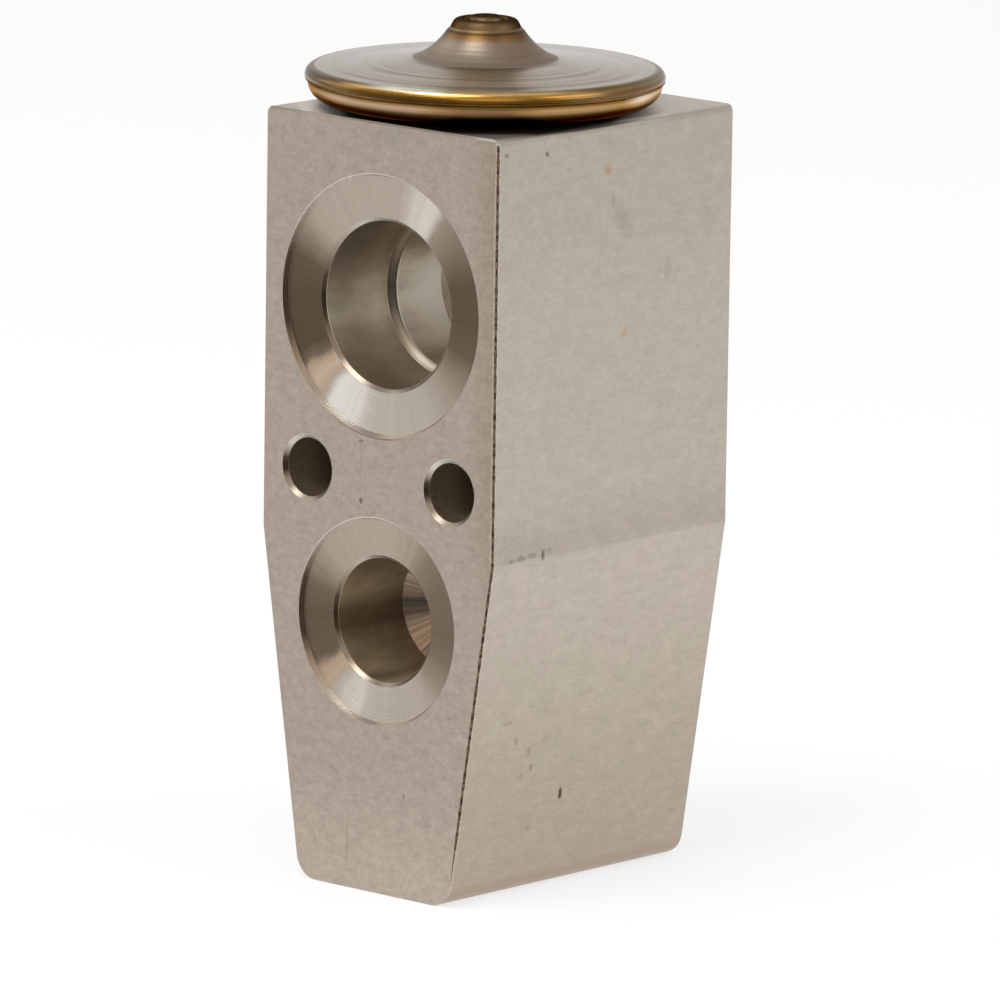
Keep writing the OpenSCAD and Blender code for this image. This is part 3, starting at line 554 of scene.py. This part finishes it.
for centre, half, strength in FRONT_MARKS:
    tone = (speck(x, z, on_front, centre, half) * strength).blend(tone, DARK_MARK_TONE)
for centre, half, strength in FLANK_MARKS:
    tone = (speck(y, z, on_right, centre, half) * strength).blend(tone, DARK_MARK_TONE)
pits = noise(place.vector(0.0, y * 1.6, z * 2.2), detail=4, roughness=0.85).step(0.48, 0.76)
by_the_bend = facing_x * z.band(BEND_Z + 0.1, BEND_Z + 2.0, 0.8) * y.step(-2.0, -9.0)
tone = (0.34 * pits * by_the_bend).blend(tone, DARK_MARK_TONE)
for centre, half, strength in RUST_MARKS:
    tone = (speck(y, z, on_right, centre, half, 0.9) * strength).blend(tone, RUST_TONE)
lip_line = (suction_port["radius"] - SUCTION["lip"]).band(0.0, 0.17, 0.06) * facing_y * upper
tone = (0.6 * lip_line * abs(suction_port["degrees"] + 98).step(26, 12)).blend(tone, BURR_TONE)
# Painted highlight: a thin glint along the lip of the suction and outlet ports at their upper left.
for port in (suction_port, outlet_port):
    rim_light = (port["radius"] - port["lip"]).band(-0.02, 0.1, 0.04) * on_front
    rim_light = 0.5 * rim_light * abs(port["degrees"] - 115).step(55, 30)
    tone = rim_light.blend(tone, LIP_GLINT_TONE)

feed(shader, "Base Color", tone)
feed(shader, "Metallic", 1.0 - 0.8 * in_bores - 0.8 * beside_head)
feed(shader, "Roughness", 0.40 + 0.10 * (clouds - 0.5) - 0.12 * rough_inside + 0.12 * in_bores)
press_push = (along - 0.5) * 0.16 * facing_x
mill_push = (across - 0.5) * 0.20 * facing_y * (1 - rough_inside)
pushes.insert(0, (place.vector(0.0, 0.0, 1.0), press_push + mill_push))
feed(shader, "Normal", tilted(normal, *pushes))
print("block finish:", len(block_look.node_tree.nodes), "nodes")

# %% [markdown]
# ## The power head's sheet steel
# The two covers are pressed from stainless sheet, spun on a lathe and welded together round the
# rim. The weld's heat leaves the rim straw to gold, and the charging weld browns the crater's top.
# Rings come from a noise of the radius. Heat colours come from the radius and the height, and the
# rims' bands by height also carry painted highlights and painted shade. The disc's rings, its dark
# fan towards the viewer's side and the light fans left and right of it are painted reflection.

# %% Finish of the upper cover
LAND_Z, SEAM_Z, CREASE_R, CROWN_R = 87.19, 85.86, 7.85, 18.05
COVER_BROWN = srgb(128, 104, 80)
CRATER_TONE, TINT_TONE, BEVEL_TONE = srgb(146, 131, 116), srgb(112, 80, 42), srgb(126, 108, 78)
PALE_GOLD, GOLD_LIGHT, GOLD_TONE, OLIVE_TONE = (
    srgb(255, 250, 228), srgb(232, 198, 140), srgb(188, 146, 80), srgb(122, 90, 36))
CRATER_REFLECTION_TONE, CREASE_TONE, PLUG_SEAT_TONE = srgb(122, 102, 82), srgb(96, 78, 60), srgb(92, 72, 48)
FAN_DEGREES = -48.0
# Painted reflection rings of the disc: radius, half width and how much lighter or browner
DISC_RINGS = (
    (17.6, 0.35, 0.14), (16.0, 0.5, -0.46), (14.5, 0.35, 0.12), (12.6, 0.5, -0.10),
    (11.6, 0.2, -0.12), (10.8, 0.3, 0.10), (9.3, 0.4, 0.12), (8.2, 0.25, -0.5))
FAN_TONES = [
    (0.0, srgb(171, 153, 123)), (0.07, srgb(174, 155, 127)), (0.19, srgb(192, 179, 164)),
    (0.34, srgb(196, 186, 174)), (0.56, srgb(224, 216, 208)), (0.72, srgb(238, 232, 227)),
    (1.0, srgb(244, 240, 237))]


def angle_from_fan(x, y):
    """Signed angle round the head's axis in degrees, 0 at the fan and positive to its right.

    It is the arctangent of the place turned by the fan's own angle, so it jumps only behind.
    """
    cosine, sine = np.cos(np.radians(FAN_DEGREES)), np.sin(np.radians(FAN_DEGREES))
    return (y * cosine - x * sine).degrees_from(x * cosine + y * sine)


cover_look, place, normal, shader = new_finish("cover_steel_look", Metallic=1.0)
x, y, z = place.parts()
radius = (x * x + y * y).root()
away = place.vector(x / radius, y / radius, 0.0)
rings = line_noise(radius * 1.15, detail=5)
fine_lines = line_noise(radius * 2.7, detail=3)
round_place = place.vector(1.15 * x / radius, 1.15 * y / radius, radius * 1.3)
arcs = noise(round_place, detail=4, roughness=0.7)
micro = line_noise(radius * 21.0 + z * 9.0, detail=2)
patches = noise(place.scaled(0.25), detail=3)
side = angle_from_fan(x, y)
from_fan = abs(side)
rim = radius.step(CROWN_R - 0.1, CROWN_R + 0.25)
crater = radius.step(CREASE_R + 0.1, CREASE_R - 0.25)
# Painted reflection: a dark fan towards the viewer's side and light fans left and right of it.
tone = (from_fan / 180).ramp(FAN_TONES)
ring_light = 0.12 + 0.88 * from_fan.step(84, 50)
for ring_r, half, lighter in DISC_RINGS:
    ring = radius.band(ring_r - half, ring_r + half, 0.3) * ring_light * (0.4 + 1.2 * arcs)
    if lighter > 0:
        tone = (1 + lighter * ring).shade(tone)
    else:
        tone = (-1.3 * lighter * ring).blend(tone, COVER_BROWN)
spun = 0.95 * (rings - 0.5) + 0.95 * (arcs - 0.5) + 0.6 * (fine_lines - 0.5)
tone = (1 + ring_light * spun + 0.15 * (patches - 0.5)).shade(tone)
# Painted reflection of the crater on the disc, towards the fan.
crater_reflection = radius.band(7.9, 9.4, 0.25) * from_fan.step(46, 24)
tone = (0.4 * crater_reflection).blend(tone, CRATER_REFLECTION_TONE)
# Painted shade along the crater's foot.
crease_line = radius.band(7.75, 8.1, 0.12) * from_fan.step(80, 50)
tone = (0.6 * crease_line).blend(tone, CREASE_TONE)
crater_tone = (1 + 0.5 * (rings - 0.5) + 0.4 * (arcs - 0.5)).shade(CRATER_TONE)
# Painted shade: the crater's flank is darker and browner on its right.
crater_tone = (0.45 * abs(side - 55).step(60, 15)).blend(crater_tone, COVER_BROWN)
crater_tone = (radius.step(5.0, 4.2) * (0.35 + 1.3 * patches)).blend(crater_tone, TINT_TONE)
# Darker lines at the groove round the plug and under the shoulder.
crater_tone = (0.8 * radius.band(3.95, 4.2, 0.08)).blend(crater_tone, DARK_MARK_TONE)
crater_tone = radius.step(4.0, 3.85).blend(crater_tone, BEVEL_TONE)
crater_tone = (0.8 * radius.band(3.3, 3.5, 0.08)).blend(crater_tone, DARK_MARK_TONE)
crater_tone = radius.step(3.3, 3.1).blend(crater_tone, PLUG_SEAT_TONE)
tone = crater.blend(tone, crater_tone)
under_land = LAND_Z - z
# The rim's gold is its heat tint. Its bands by height are painted highlights and painted shade, glow
# is a painted highlight left of the fan, and each side farther round has painted tones of its own.
rim_tone = under_land.ramp([
    (0.0, srgb(164, 138, 102)), (0.14, srgb(190, 156, 106)), (0.26, GOLD_LIGHT), (0.36, GOLD_TONE),
    (0.58, srgb(154, 112, 46)), (0.8, OLIVE_TONE), (1.0, srgb(88, 60, 22))])
glow = side.band(-38, -15, 9) * under_land.band(-0.04, 0.36, 0.08)
rim_tone = glow.blend(rim_tone, PALE_GOLD)
left_tone = under_land.ramp([
    (0.0, srgb(140, 118, 88)), (0.3, srgb(84, 64, 36)), (0.6, srgb(114, 88, 48)),
    (1.0, srgb(128, 98, 58))])
right_tone = under_land.ramp([
    (0.0, srgb(156, 132, 104)), (0.10, srgb(118, 92, 52)), (0.25, srgb(128, 100, 60)),
    (0.42, srgb(154, 126, 84)), (0.6, srgb(134, 106, 66)), (1.0, srgb(130, 102, 66))])
rim_tone = from_fan.step(34, 58).blend(rim_tone, left_tone)
rim_tone = (side.step(16, 42) * side.step(170, 130)).blend(rim_tone, right_tone)
rim_tone = (0.7 + 0.6 * patches + 0.5 * (arcs - 0.5)).shade(rim_tone)
tone = rim.blend(tone, rim_tone)
feed(shader, "Base Color", tone)
feed(shader, "Roughness", 0.26 + 0.16 * crater - 0.02 * rim + 0.08 * (patches - 0.5))
feed(shader, "Normal", tilted(normal, (away, (micro - 0.5) * (0.30 - 0.2 * rim))))
print("cover finish:", len(cover_look.node_tree.nodes), "nodes")

# %% Finish of the lower cover
RIM_GRAZE_TONE = srgb(200, 168, 128)
rim_look, place, normal, shader = new_finish(
    "rim_steel_look", Metallic=1.0, Specular_Tint=RIM_GRAZE_TONE)
x, y, z = place.parts()
radius = (x * x + y * y).root()
patches = noise(place.scaled(0.3), detail=3)
lines = line_noise(z * 3.0 + radius * 2.0, detail=3)
side = angle_from_fan(x, y)
from_front = abs(side)
under_seam = SEAM_Z - z
# The lower cover's gold is its heat tint. Its bands by height are painted highlights and painted
# shade, black on the underside; it is painted darker towards the viewer's side, paler at the left
# and lighter at the sides.
tone = (under_seam / 2).ramp([
    (0.0, srgb(104, 78, 38)), (0.10, srgb(98, 70, 30)), (0.20, srgb(128, 94, 48)),
    (0.30, srgb(172, 132, 82)), (0.40, srgb(190, 152, 104)), (0.50, srgb(164, 128, 86)),
    (0.62, srgb(114, 88, 56)), (0.74, srgb(58, 42, 24)), (0.9, srgb(26, 19, 10))])
fan_shade = (1 - 0.5 * from_front.step(24, 5)) * (1 + 0.3 * side.step(48, 62))
tone = ((0.75 + 0.5 * lines) * fan_shade).shade(tone)
left_pale = 0.35 * side.step(-14, -26) * side.step(-170, -130)
tone = left_pale.blend(tone, place.vector(1.1, 1.5, 3.0).shade(tone))
side_tone = (under_seam / 2).ramp([
    (0.0, srgb(178, 158, 140)), (0.10, srgb(196, 178, 160)), (0.20, srgb(235, 222, 205)),
    (0.30, srgb(255, 238, 210)), (0.42, srgb(250, 226, 196)), (0.52, srgb(205, 182, 156)),
    (0.62, srgb(185, 165, 145)), (0.74, srgb(112, 92, 72)), (0.9, srgb(26, 18, 8))])
sides = (side.step(50, 64) * side.step(170, 130)
         + 0.17 * side.step(-42, -58) * side.step(-170, -130))
tone = sides.blend(tone, side_tone)
feed(shader, "Base Color", tone)
feed(shader, "Roughness", 0.3 + 0.1 * (patches - 0.5))

# %% [markdown]
# ## Small metal and rubber pieces
# Most of them sit inside the block. They show when the part is opened or moved, so each has the
# finish of the real one: rings from the lathe on brass and rod, a plain bright wire, dull rubber.

# %% Finishes of the inner pieces
def turned_finish(name, light, dark, roughness, pitch, metallic=1.0, edge=(1.0, 1.0, 1.0, 1.0)):
    """Rings of two near tones along height and radius. The edge colour tints grazing light."""
    made, place, normal, shader = new_finish(name, Metallic=metallic, Specular_Tint=edge)
    x, y, z = place.parts()
    radius = (x * x + y * y).root()
    rings = line_noise(radius * pitch + z * pitch, detail=3)
    spots = noise(place.scaled(1.1), detail=3)
    feed(shader, "Base Color", (0.7 * rings + 0.3 * spots).blend(dark, light))
    feed(shader, "Roughness", roughness + 0.12 * (spots - 0.5))
    height = line_noise(radius * pitch * 4 + z * pitch * 4, detail=1)
    bump = height.add(
        "ShaderNodeBump", {}, {"Strength": 0.15, "Distance": 0.02 * MM, "Height": height})
    feed(shader, "Normal", bump)
    return made


plug_look = turned_finish(
    "plug_steel_look", srgb(118, 96, 68), srgb(70, 54, 36), 0.45, 3.0, edge=srgb(96, 76, 54))
spring_look = turned_finish("spring_steel_look", srgb(206, 206, 208), srgb(160, 160, 164), 0.26, 4.0)
rod_look = turned_finish("rod_aluminium_look", srgb(222, 221, 220), srgb(186, 184, 182), 0.3, 5.0)
brass_look = turned_finish("fitting_brass_look", srgb(214, 184, 118), srgb(176, 140, 80), 0.3, 4.0)
rubber_look = turned_finish(
    "seal_rubber_look", srgb(44, 43, 42), srgb(30, 29, 29), 0.55, 1.5, metallic=0.0)
washer_look = turned_finish(
    "washer_plastic_look", srgb(238, 236, 228), srgb(222, 218, 208), 0.5, 2.0, metallic=0.0)

LOOKS = {
    "valve_body": block_look, "upper_cover": cover_look, "lower_cover": rim_look,
    "charge_plug": plug_look, "diaphragm": spring_look, "stopper": spring_look,
    "sensing_rod": rod_look, "push_pin": spring_look, "valve_ball": spring_look,
    "retaining_ring": spring_look, "damping_spring": spring_look, "bias_spring": spring_look,
    "ball_holder": brass_look, "adjusting_screw": brass_look, "head_o_ring": rubber_look,
    "rod_o_ring": rubber_look, "adjuster_o_ring": rubber_look, "seal_washer": washer_look}
for name, look in LOOKS.items():
    for index in range(len(nodes[name].material_slots)):
        nodes[name].material_slots[index].material = look
print("dressed", len(LOOKS), "of", len(nodes), "nodes")

# %% [markdown]
# ## Forms that CAD leaves to this script
# A thread is a V carried along a helix, a weld bead is a small ring with an uneven height, and
# the burr on the block's front edge is a ragged bead along a bent line. All of them are a
# profile carried along a path, so one grid function makes them: one parameter runs along
# the path, the other round the profile.

# %% Grid surfaces
def grid_mesh(name, points, closed_u, closed_v, capped=False):
    """A mesh from points on a grid of u by v.

    Neighbours make quads, and a closed direction joins its end to its start. Caps close the first
    and the last ring of v.
    """
    rows, columns = points.shape[:2]
    u = np.arange(rows if closed_u else rows - 1)
    v = np.arange(columns if closed_v else columns - 1)
    a, b = np.meshgrid(u, v, indexing="ij")
    c, d = (a + 1) % rows, (b + 1) % columns
    faces = np.stack([a * columns + b, c * columns + b, c * columns + d, a * columns + d], axis=-1)
    faces = faces.reshape(-1, 4).tolist()
    if capped:
        ring = np.arange(columns)
        faces += [ring[::-1].tolist(), (ring + (rows - 1) * columns).tolist()]
    mesh = bpy.data.meshes.new(name)
    mesh.from_pydata(points.reshape(-1, 3).tolist(), [], faces)
    mesh.polygons.foreach_set("use_smooth", np.ones(len(mesh.polygons), bool))
    mesh.update()
    made = bpy.data.objects.new(name, mesh)
    bpy.context.collection.objects.link(made)
    return made


def thread_ridge(turns, pitch, wall_r, crest_r, steps=40):
    """Ridge of an inside thread.

    At angle a the profile stands at height pitch * a / (2 pi), and its V runs from the wall in to
    the crest and back. The ridge grows from nothing and fades to nothing over half a turn.
    """
    a = np.linspace(0, 2 * np.pi * turns, int(turns * steps) + 1)[:, None]
    grow = np.clip(np.minimum(a, a[-1] - a) / np.pi, 0.02, 1)
    profile_r = np.array([0.0, 0.85, 1.0, 0.85, 0.0])[None, :]
    profile_h = np.array([-0.44, -0.08, 0.0, 0.08, 0.44])[None, :] * pitch
    r = wall_r - (wall_r - crest_r) * profile_r * grow
    h = pitch * a / (2 * np.pi) + profile_h * grow
    return np.stack([r * np.cos(a), r * np.sin(a), h + 0 * r], axis=-1)


CLAMP_WALL, CLAMP_CREST, CLAMP_PITCH = 2.52, 2.22, 1.0
ridge = thread_ridge(10.6, CLAMP_PITCH, CLAMP_WALL, CLAMP_CREST)
turned_ridge = np.stack(
    [ridge[..., 0], BACK_Y - 0.55 - ridge[..., 2], BOLT_Z + ridge[..., 1]], axis=-1)
clamp_thread = grid_mesh("clamp_thread", turned_ridge * MM, False, False)

FOOT_WALL, FOOT_CREST = 6.97, 6.72
foot_ridge = thread_ridge(1.0, 0.5, FOOT_WALL, FOOT_CREST, steps=90)
foot_thread = grid_mesh("foot_thread", (foot_ridge + [0, 0, 0.28]) * MM, False, False)


def weld_bead(ring_r, bead_r, z, waves, steps=160, sides=10):
    """A ring of round section. At angle a its thickness is bead_r times one plus the waves.

    Each wave is size * sin(count * a + count).
    """
    a = np.linspace(0, 2 * np.pi, steps, endpoint=False)[:, None]
    b = np.linspace(0, 2 * np.pi, sides, endpoint=False)[None, :]
    thick = bead_r * (1 + sum(size * np.sin(count * a + count) for count, size in waves))
    r = ring_r + thick * np.cos(b)
    return np.stack([r * np.cos(a), r * np.sin(a), z + thick * np.sin(b) * 0.7], axis=-1)


def turned_ring(profile, steps=180):
    """A profile carried round the axis: its point (r, z) becomes (r cos a, r sin a, z)."""
    a = np.linspace(0, 2 * np.pi, steps, endpoint=False)[:, None]
    r, z = np.array(profile).T[:, None, :]
    return np.stack([r * np.cos(a), r * np.sin(a), z + 0 * a], axis=-1)


LIP_PROFILE = [
    (3.80, 91.30), (3.62, 91.70), (3.48, 91.96), (3.36, 92.12), (3.18, 92.25), (2.95, 92.33),
    (2.72, 92.33), (2.52, 92.24), (2.40, 92.05)]
PLUG_WAVES, SEAM_WAVES = ((5, 0.12), (13, 0.1), (29, 0.08)), ((9, 0.05), (31, 0.05), (77, 0.04))
crater_lip = grid_mesh("crater_lip", turned_ring(LIP_PROFILE) * MM, True, False)
plug_weld = grid_mesh("plug_weld", weld_bead(1.98, 0.16, 92.06, PLUG_WAVES) * MM, True, True)
seam_weld = grid_mesh(
    "seam_weld", weld_bead(18.83, 0.25, 85.84, SEAM_WAVES, steps=540) * MM, True, True)

seam_look, place, normal, shader = new_finish(
    "seam_weld_look", Metallic=1.0, Specular_Tint=srgb(160, 120, 70))
x, y, z = place.parts()
weld_noise = noise(place.vector(x * 0.5, y * 0.5, z * 3.0), detail=3)
seam_side = angle_from_fan(x, y)
# Painted light: the weld is darker towards the viewer's side and lighter at its sides.
seam_tone = abs(seam_side).step(20, 48).blend(srgb(92, 66, 22), srgb(136, 108, 72))
seam_tone = (seam_side.step(50, 64) * seam_side.step(170, 130)).blend(seam_tone, srgb(170, 138, 106))
feed(shader, "Base Color", (0.6 + 0.8 * weld_noise).shade(seam_tone))
feed(shader, "Roughness", 0.36 + 0.2 * (weld_noise - 0.5))

# %% Burr on the front edge
BURR_R = 0.145


def edge_burr(steps=420, sides=8):
    """A thin bead along the block's front edge, straight above the bend and leaning in below it.

    Its thickness is a sum of sines of the height, and fades near the foot.
    """
    h = np.linspace(3.0, 82.2, steps)[:, None]
    b = np.linspace(0, 2 * np.pi, sides, endpoint=False)[None, :]
    edge_x = np.where(h > BEND_Z, FLANK_X, FLANK_X - (BEND_Z - h) * FLANK_SLOPE)
    waves = 1 + 0.12 * np.sin(1.9 * h) + 0.12 * np.sin(4.7 * h + 1) + 0.08 * np.sin(11.3 * h + 2)
    thick = BURR_R * np.clip((h - 2.5) / 6, 0.2, 1) * waves
    return np.stack([edge_x + thick * np.cos(b), FRONT_Y + thick * np.sin(b), h + 0 * b], axis=-1)


front_burr = grid_mesh("front_burr", edge_burr() * MM, False, True)

burr_look, place, normal, shader = new_finish("burr_look", Metallic=1.0)
_, _, z = place.parts()
dashes = line_noise(z * 1.3, detail=4).step(0.3, 0.7)
feed(shader, "Base Color", dashes.blend(srgb(128, 110, 90), srgb(70, 55, 42)))
feed(shader, "Roughness", 0.55 + 0.1 * dashes)

# %% [markdown]
# The bias spring stands between two pieces that move on their own: the ball holder presses its top
# and the adjusting screw its foot. Its coil is made again here in two halves that meet in the
# middle, the lower from the foot to the middle turn and the upper from there to the last turn.

# %% Bias spring in two halves
SPRING_R, WIRE_R, SPRING_FOOT_Z, DEAD_PITCH, ACTIVE_PITCH = 3.7, 0.45, 9.02, 0.97, 1.4367
MIDDLE_TURN, LAST_TURN = 2.5, 5.0


def coil(first, last, steps_per_turn=24, sides=10):
    """Wire of the spring from one turn to another.

    At turn t its middle stands at height lift(t): one closed turn, three open turns and one closed
    turn. Round the wire, radius and height add the cosine and sine of b times the wire's radius.
    """
    t = np.linspace(first, last, int((last - first) * steps_per_turn) + 1)[:, None]
    b = np.linspace(0, 2 * np.pi, sides, endpoint=False)[None, :]
    closed_turns = np.minimum(t, 1) + np.clip(t - 4, 0, 1)
    lift = DEAD_PITCH * closed_turns + ACTIVE_PITCH * np.clip(t - 1, 0, 3)
    r = SPRING_R + WIRE_R * np.cos(b)
    height = SPRING_FOOT_Z + WIRE_R + lift + WIRE_R * np.sin(b)
    return np.stack([r * np.cos(2 * np.pi * t), r * np.sin(2 * np.pi * t), height], axis=-1) * MM


for name, first, last, low, high, bodies in (
        ("bias_spring_lower", 0.0, MIDDLE_TURN, 10.2, 13.2, ("adjuster_slide", "block")),
        ("bias_spring_upper", MIDDLE_TURN, LAST_TURN, 12.0, 15.2, ("block", "valve_train"))):
    half = grid_mesh(name, coil(first, last), False, True, capped=True)
    half.data.materials.append(spring_look)
    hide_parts("bias_spring")
    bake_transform(half)
    print(half.name, "has", len(half.data.polygons), "faces")

# %% Place the pieces
PIECES = [
    (clamp_thread, "block", "block_aluminium", rod_look),
    (foot_thread, "block", "block_aluminium", rod_look),
    (plug_weld, "block", "plug_steel", plug_look), (seam_weld, "block", "rim_steel", seam_look),
    (crater_lip, "block", "plug_steel", plug_look),
    (front_burr, "block", "block_aluminium", burr_look)]
for piece, body, slot, look in PIECES:
    piece.data.materials.append(look)
    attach(piece, body)
    print(piece.name, "has", len(piece.data.polygons), "faces")

# %% [markdown]
# ## Floor and light
# A plain pale floor and large soft lamps, as for a catalogue picture. The lamp above and in front
# adds its light to the painted bow tie in the turned ports. The world gives an even fill that metal
# can mirror.
# To the camera and to mirrors the floor is mostly white paper: a Mix Shader gives it white light of
# its own for those rays only, so it lights nothing and the part's shadow still shows faintly.

# %% Floor, world and lamps
FLOOR_HALF, FLOOR_DROP, PAPER_WHITE = 4.0, 0.00002, 0.7
WORLD_TONE, WORLD_STRENGTH = srgb(232, 231, 229), 0.75
floor_mesh = bpy.data.meshes.new("floor")
corners = np.array([[-1, -1, 0], [1, -1, 0], [1, 1, 0], [-1, 1, 0]]) * FLOOR_HALF
floor_mesh.from_pydata((corners - [0, 0, FLOOR_DROP]).tolist(), [], [(0, 1, 2, 3)])
floor = bpy.data.objects.new("floor", floor_mesh)
bpy.context.collection.objects.link(floor)
floor_look, place, normal, shader = new_finish("floor_look", Roughness=0.9)
paper_noise = noise(place.scaled(0.004), detail=2)
feed(shader, "Base Color", paper_noise.blend(srgb(250, 250, 249), srgb(248, 248, 247)))
path = floor_look.node_tree.nodes.new("ShaderNodeLightPath")
RAYS = ("Is Camera Ray", "Is Glossy Ray", "Is Transmission Ray")
seen = [Wire(path.outputs[ray]) for ray in RAYS]
paper = place.add("ShaderNodeEmission", {}, {"Color": (1.0, 1.0, 1.0, 1.0), "Strength": 1.0})
whitened = place.add("ShaderNodeMixShader", {}, {
    0: PAPER_WHITE * (seen[0] + seen[1] + seen[2]), 1: Wire(shader.outputs[0]), 2: paper})
floor_output = floor_look.node_tree.nodes["Material Output"]
floor_look.node_tree.links.new(whitened.socket, floor_output.inputs[0])
floor_mesh.materials.append(floor_look)

world = bpy.data.worlds.new("studio")
world.use_nodes = True
background = world.node_tree.nodes["Background"]
background.inputs[0].default_value = WORLD_TONE
background.inputs[1].default_value = WORLD_STRENGTH
bpy.context.scene.world = world


def lamp(name, azimuth, elevation, distance, size, watts):
    """A square area lamp on a sphere round the part, aimed at its middle.

    Azimuth counts from the front towards +X and elevation upwards, both in degrees.
    """
    a, e = np.radians(azimuth), np.radians(elevation)
    back = np.array([np.sin(a) * np.cos(e), -np.cos(a) * np.cos(e), np.sin(e)])
    side = np.array([np.cos(a), np.sin(a), 0.0])
    data = bpy.data.lights.new(name, "AREA")
    data.size, data.energy = size, watts
    made = bpy.data.objects.new(name, data)
    bpy.context.collection.objects.link(made)
    matrix = np.eye(4)
    matrix[:3, 0], matrix[:3, 1], matrix[:3, 2] = side, np.cross(back, side), back
    matrix[:3, 3] = TARGET + distance * back
    made.matrix_world = Matrix(matrix.tolist())


# Azimuth and elevation in degrees, distance and size in metres, power in watts
LAMPS = (
    ("key", -4, 62, 1.2, 0.55, 6.0), ("left", -75, 30, 1.4, 0.8, 3.0),
    ("right", 110, 35, 1.4, 0.8, 4.0), ("viewer", 44, 26, 1.3, 0.9, 3.5))
for settings in LAMPS:
    lamp(*settings)
bpy.context.scene.view_settings.view_transform = "Standard"
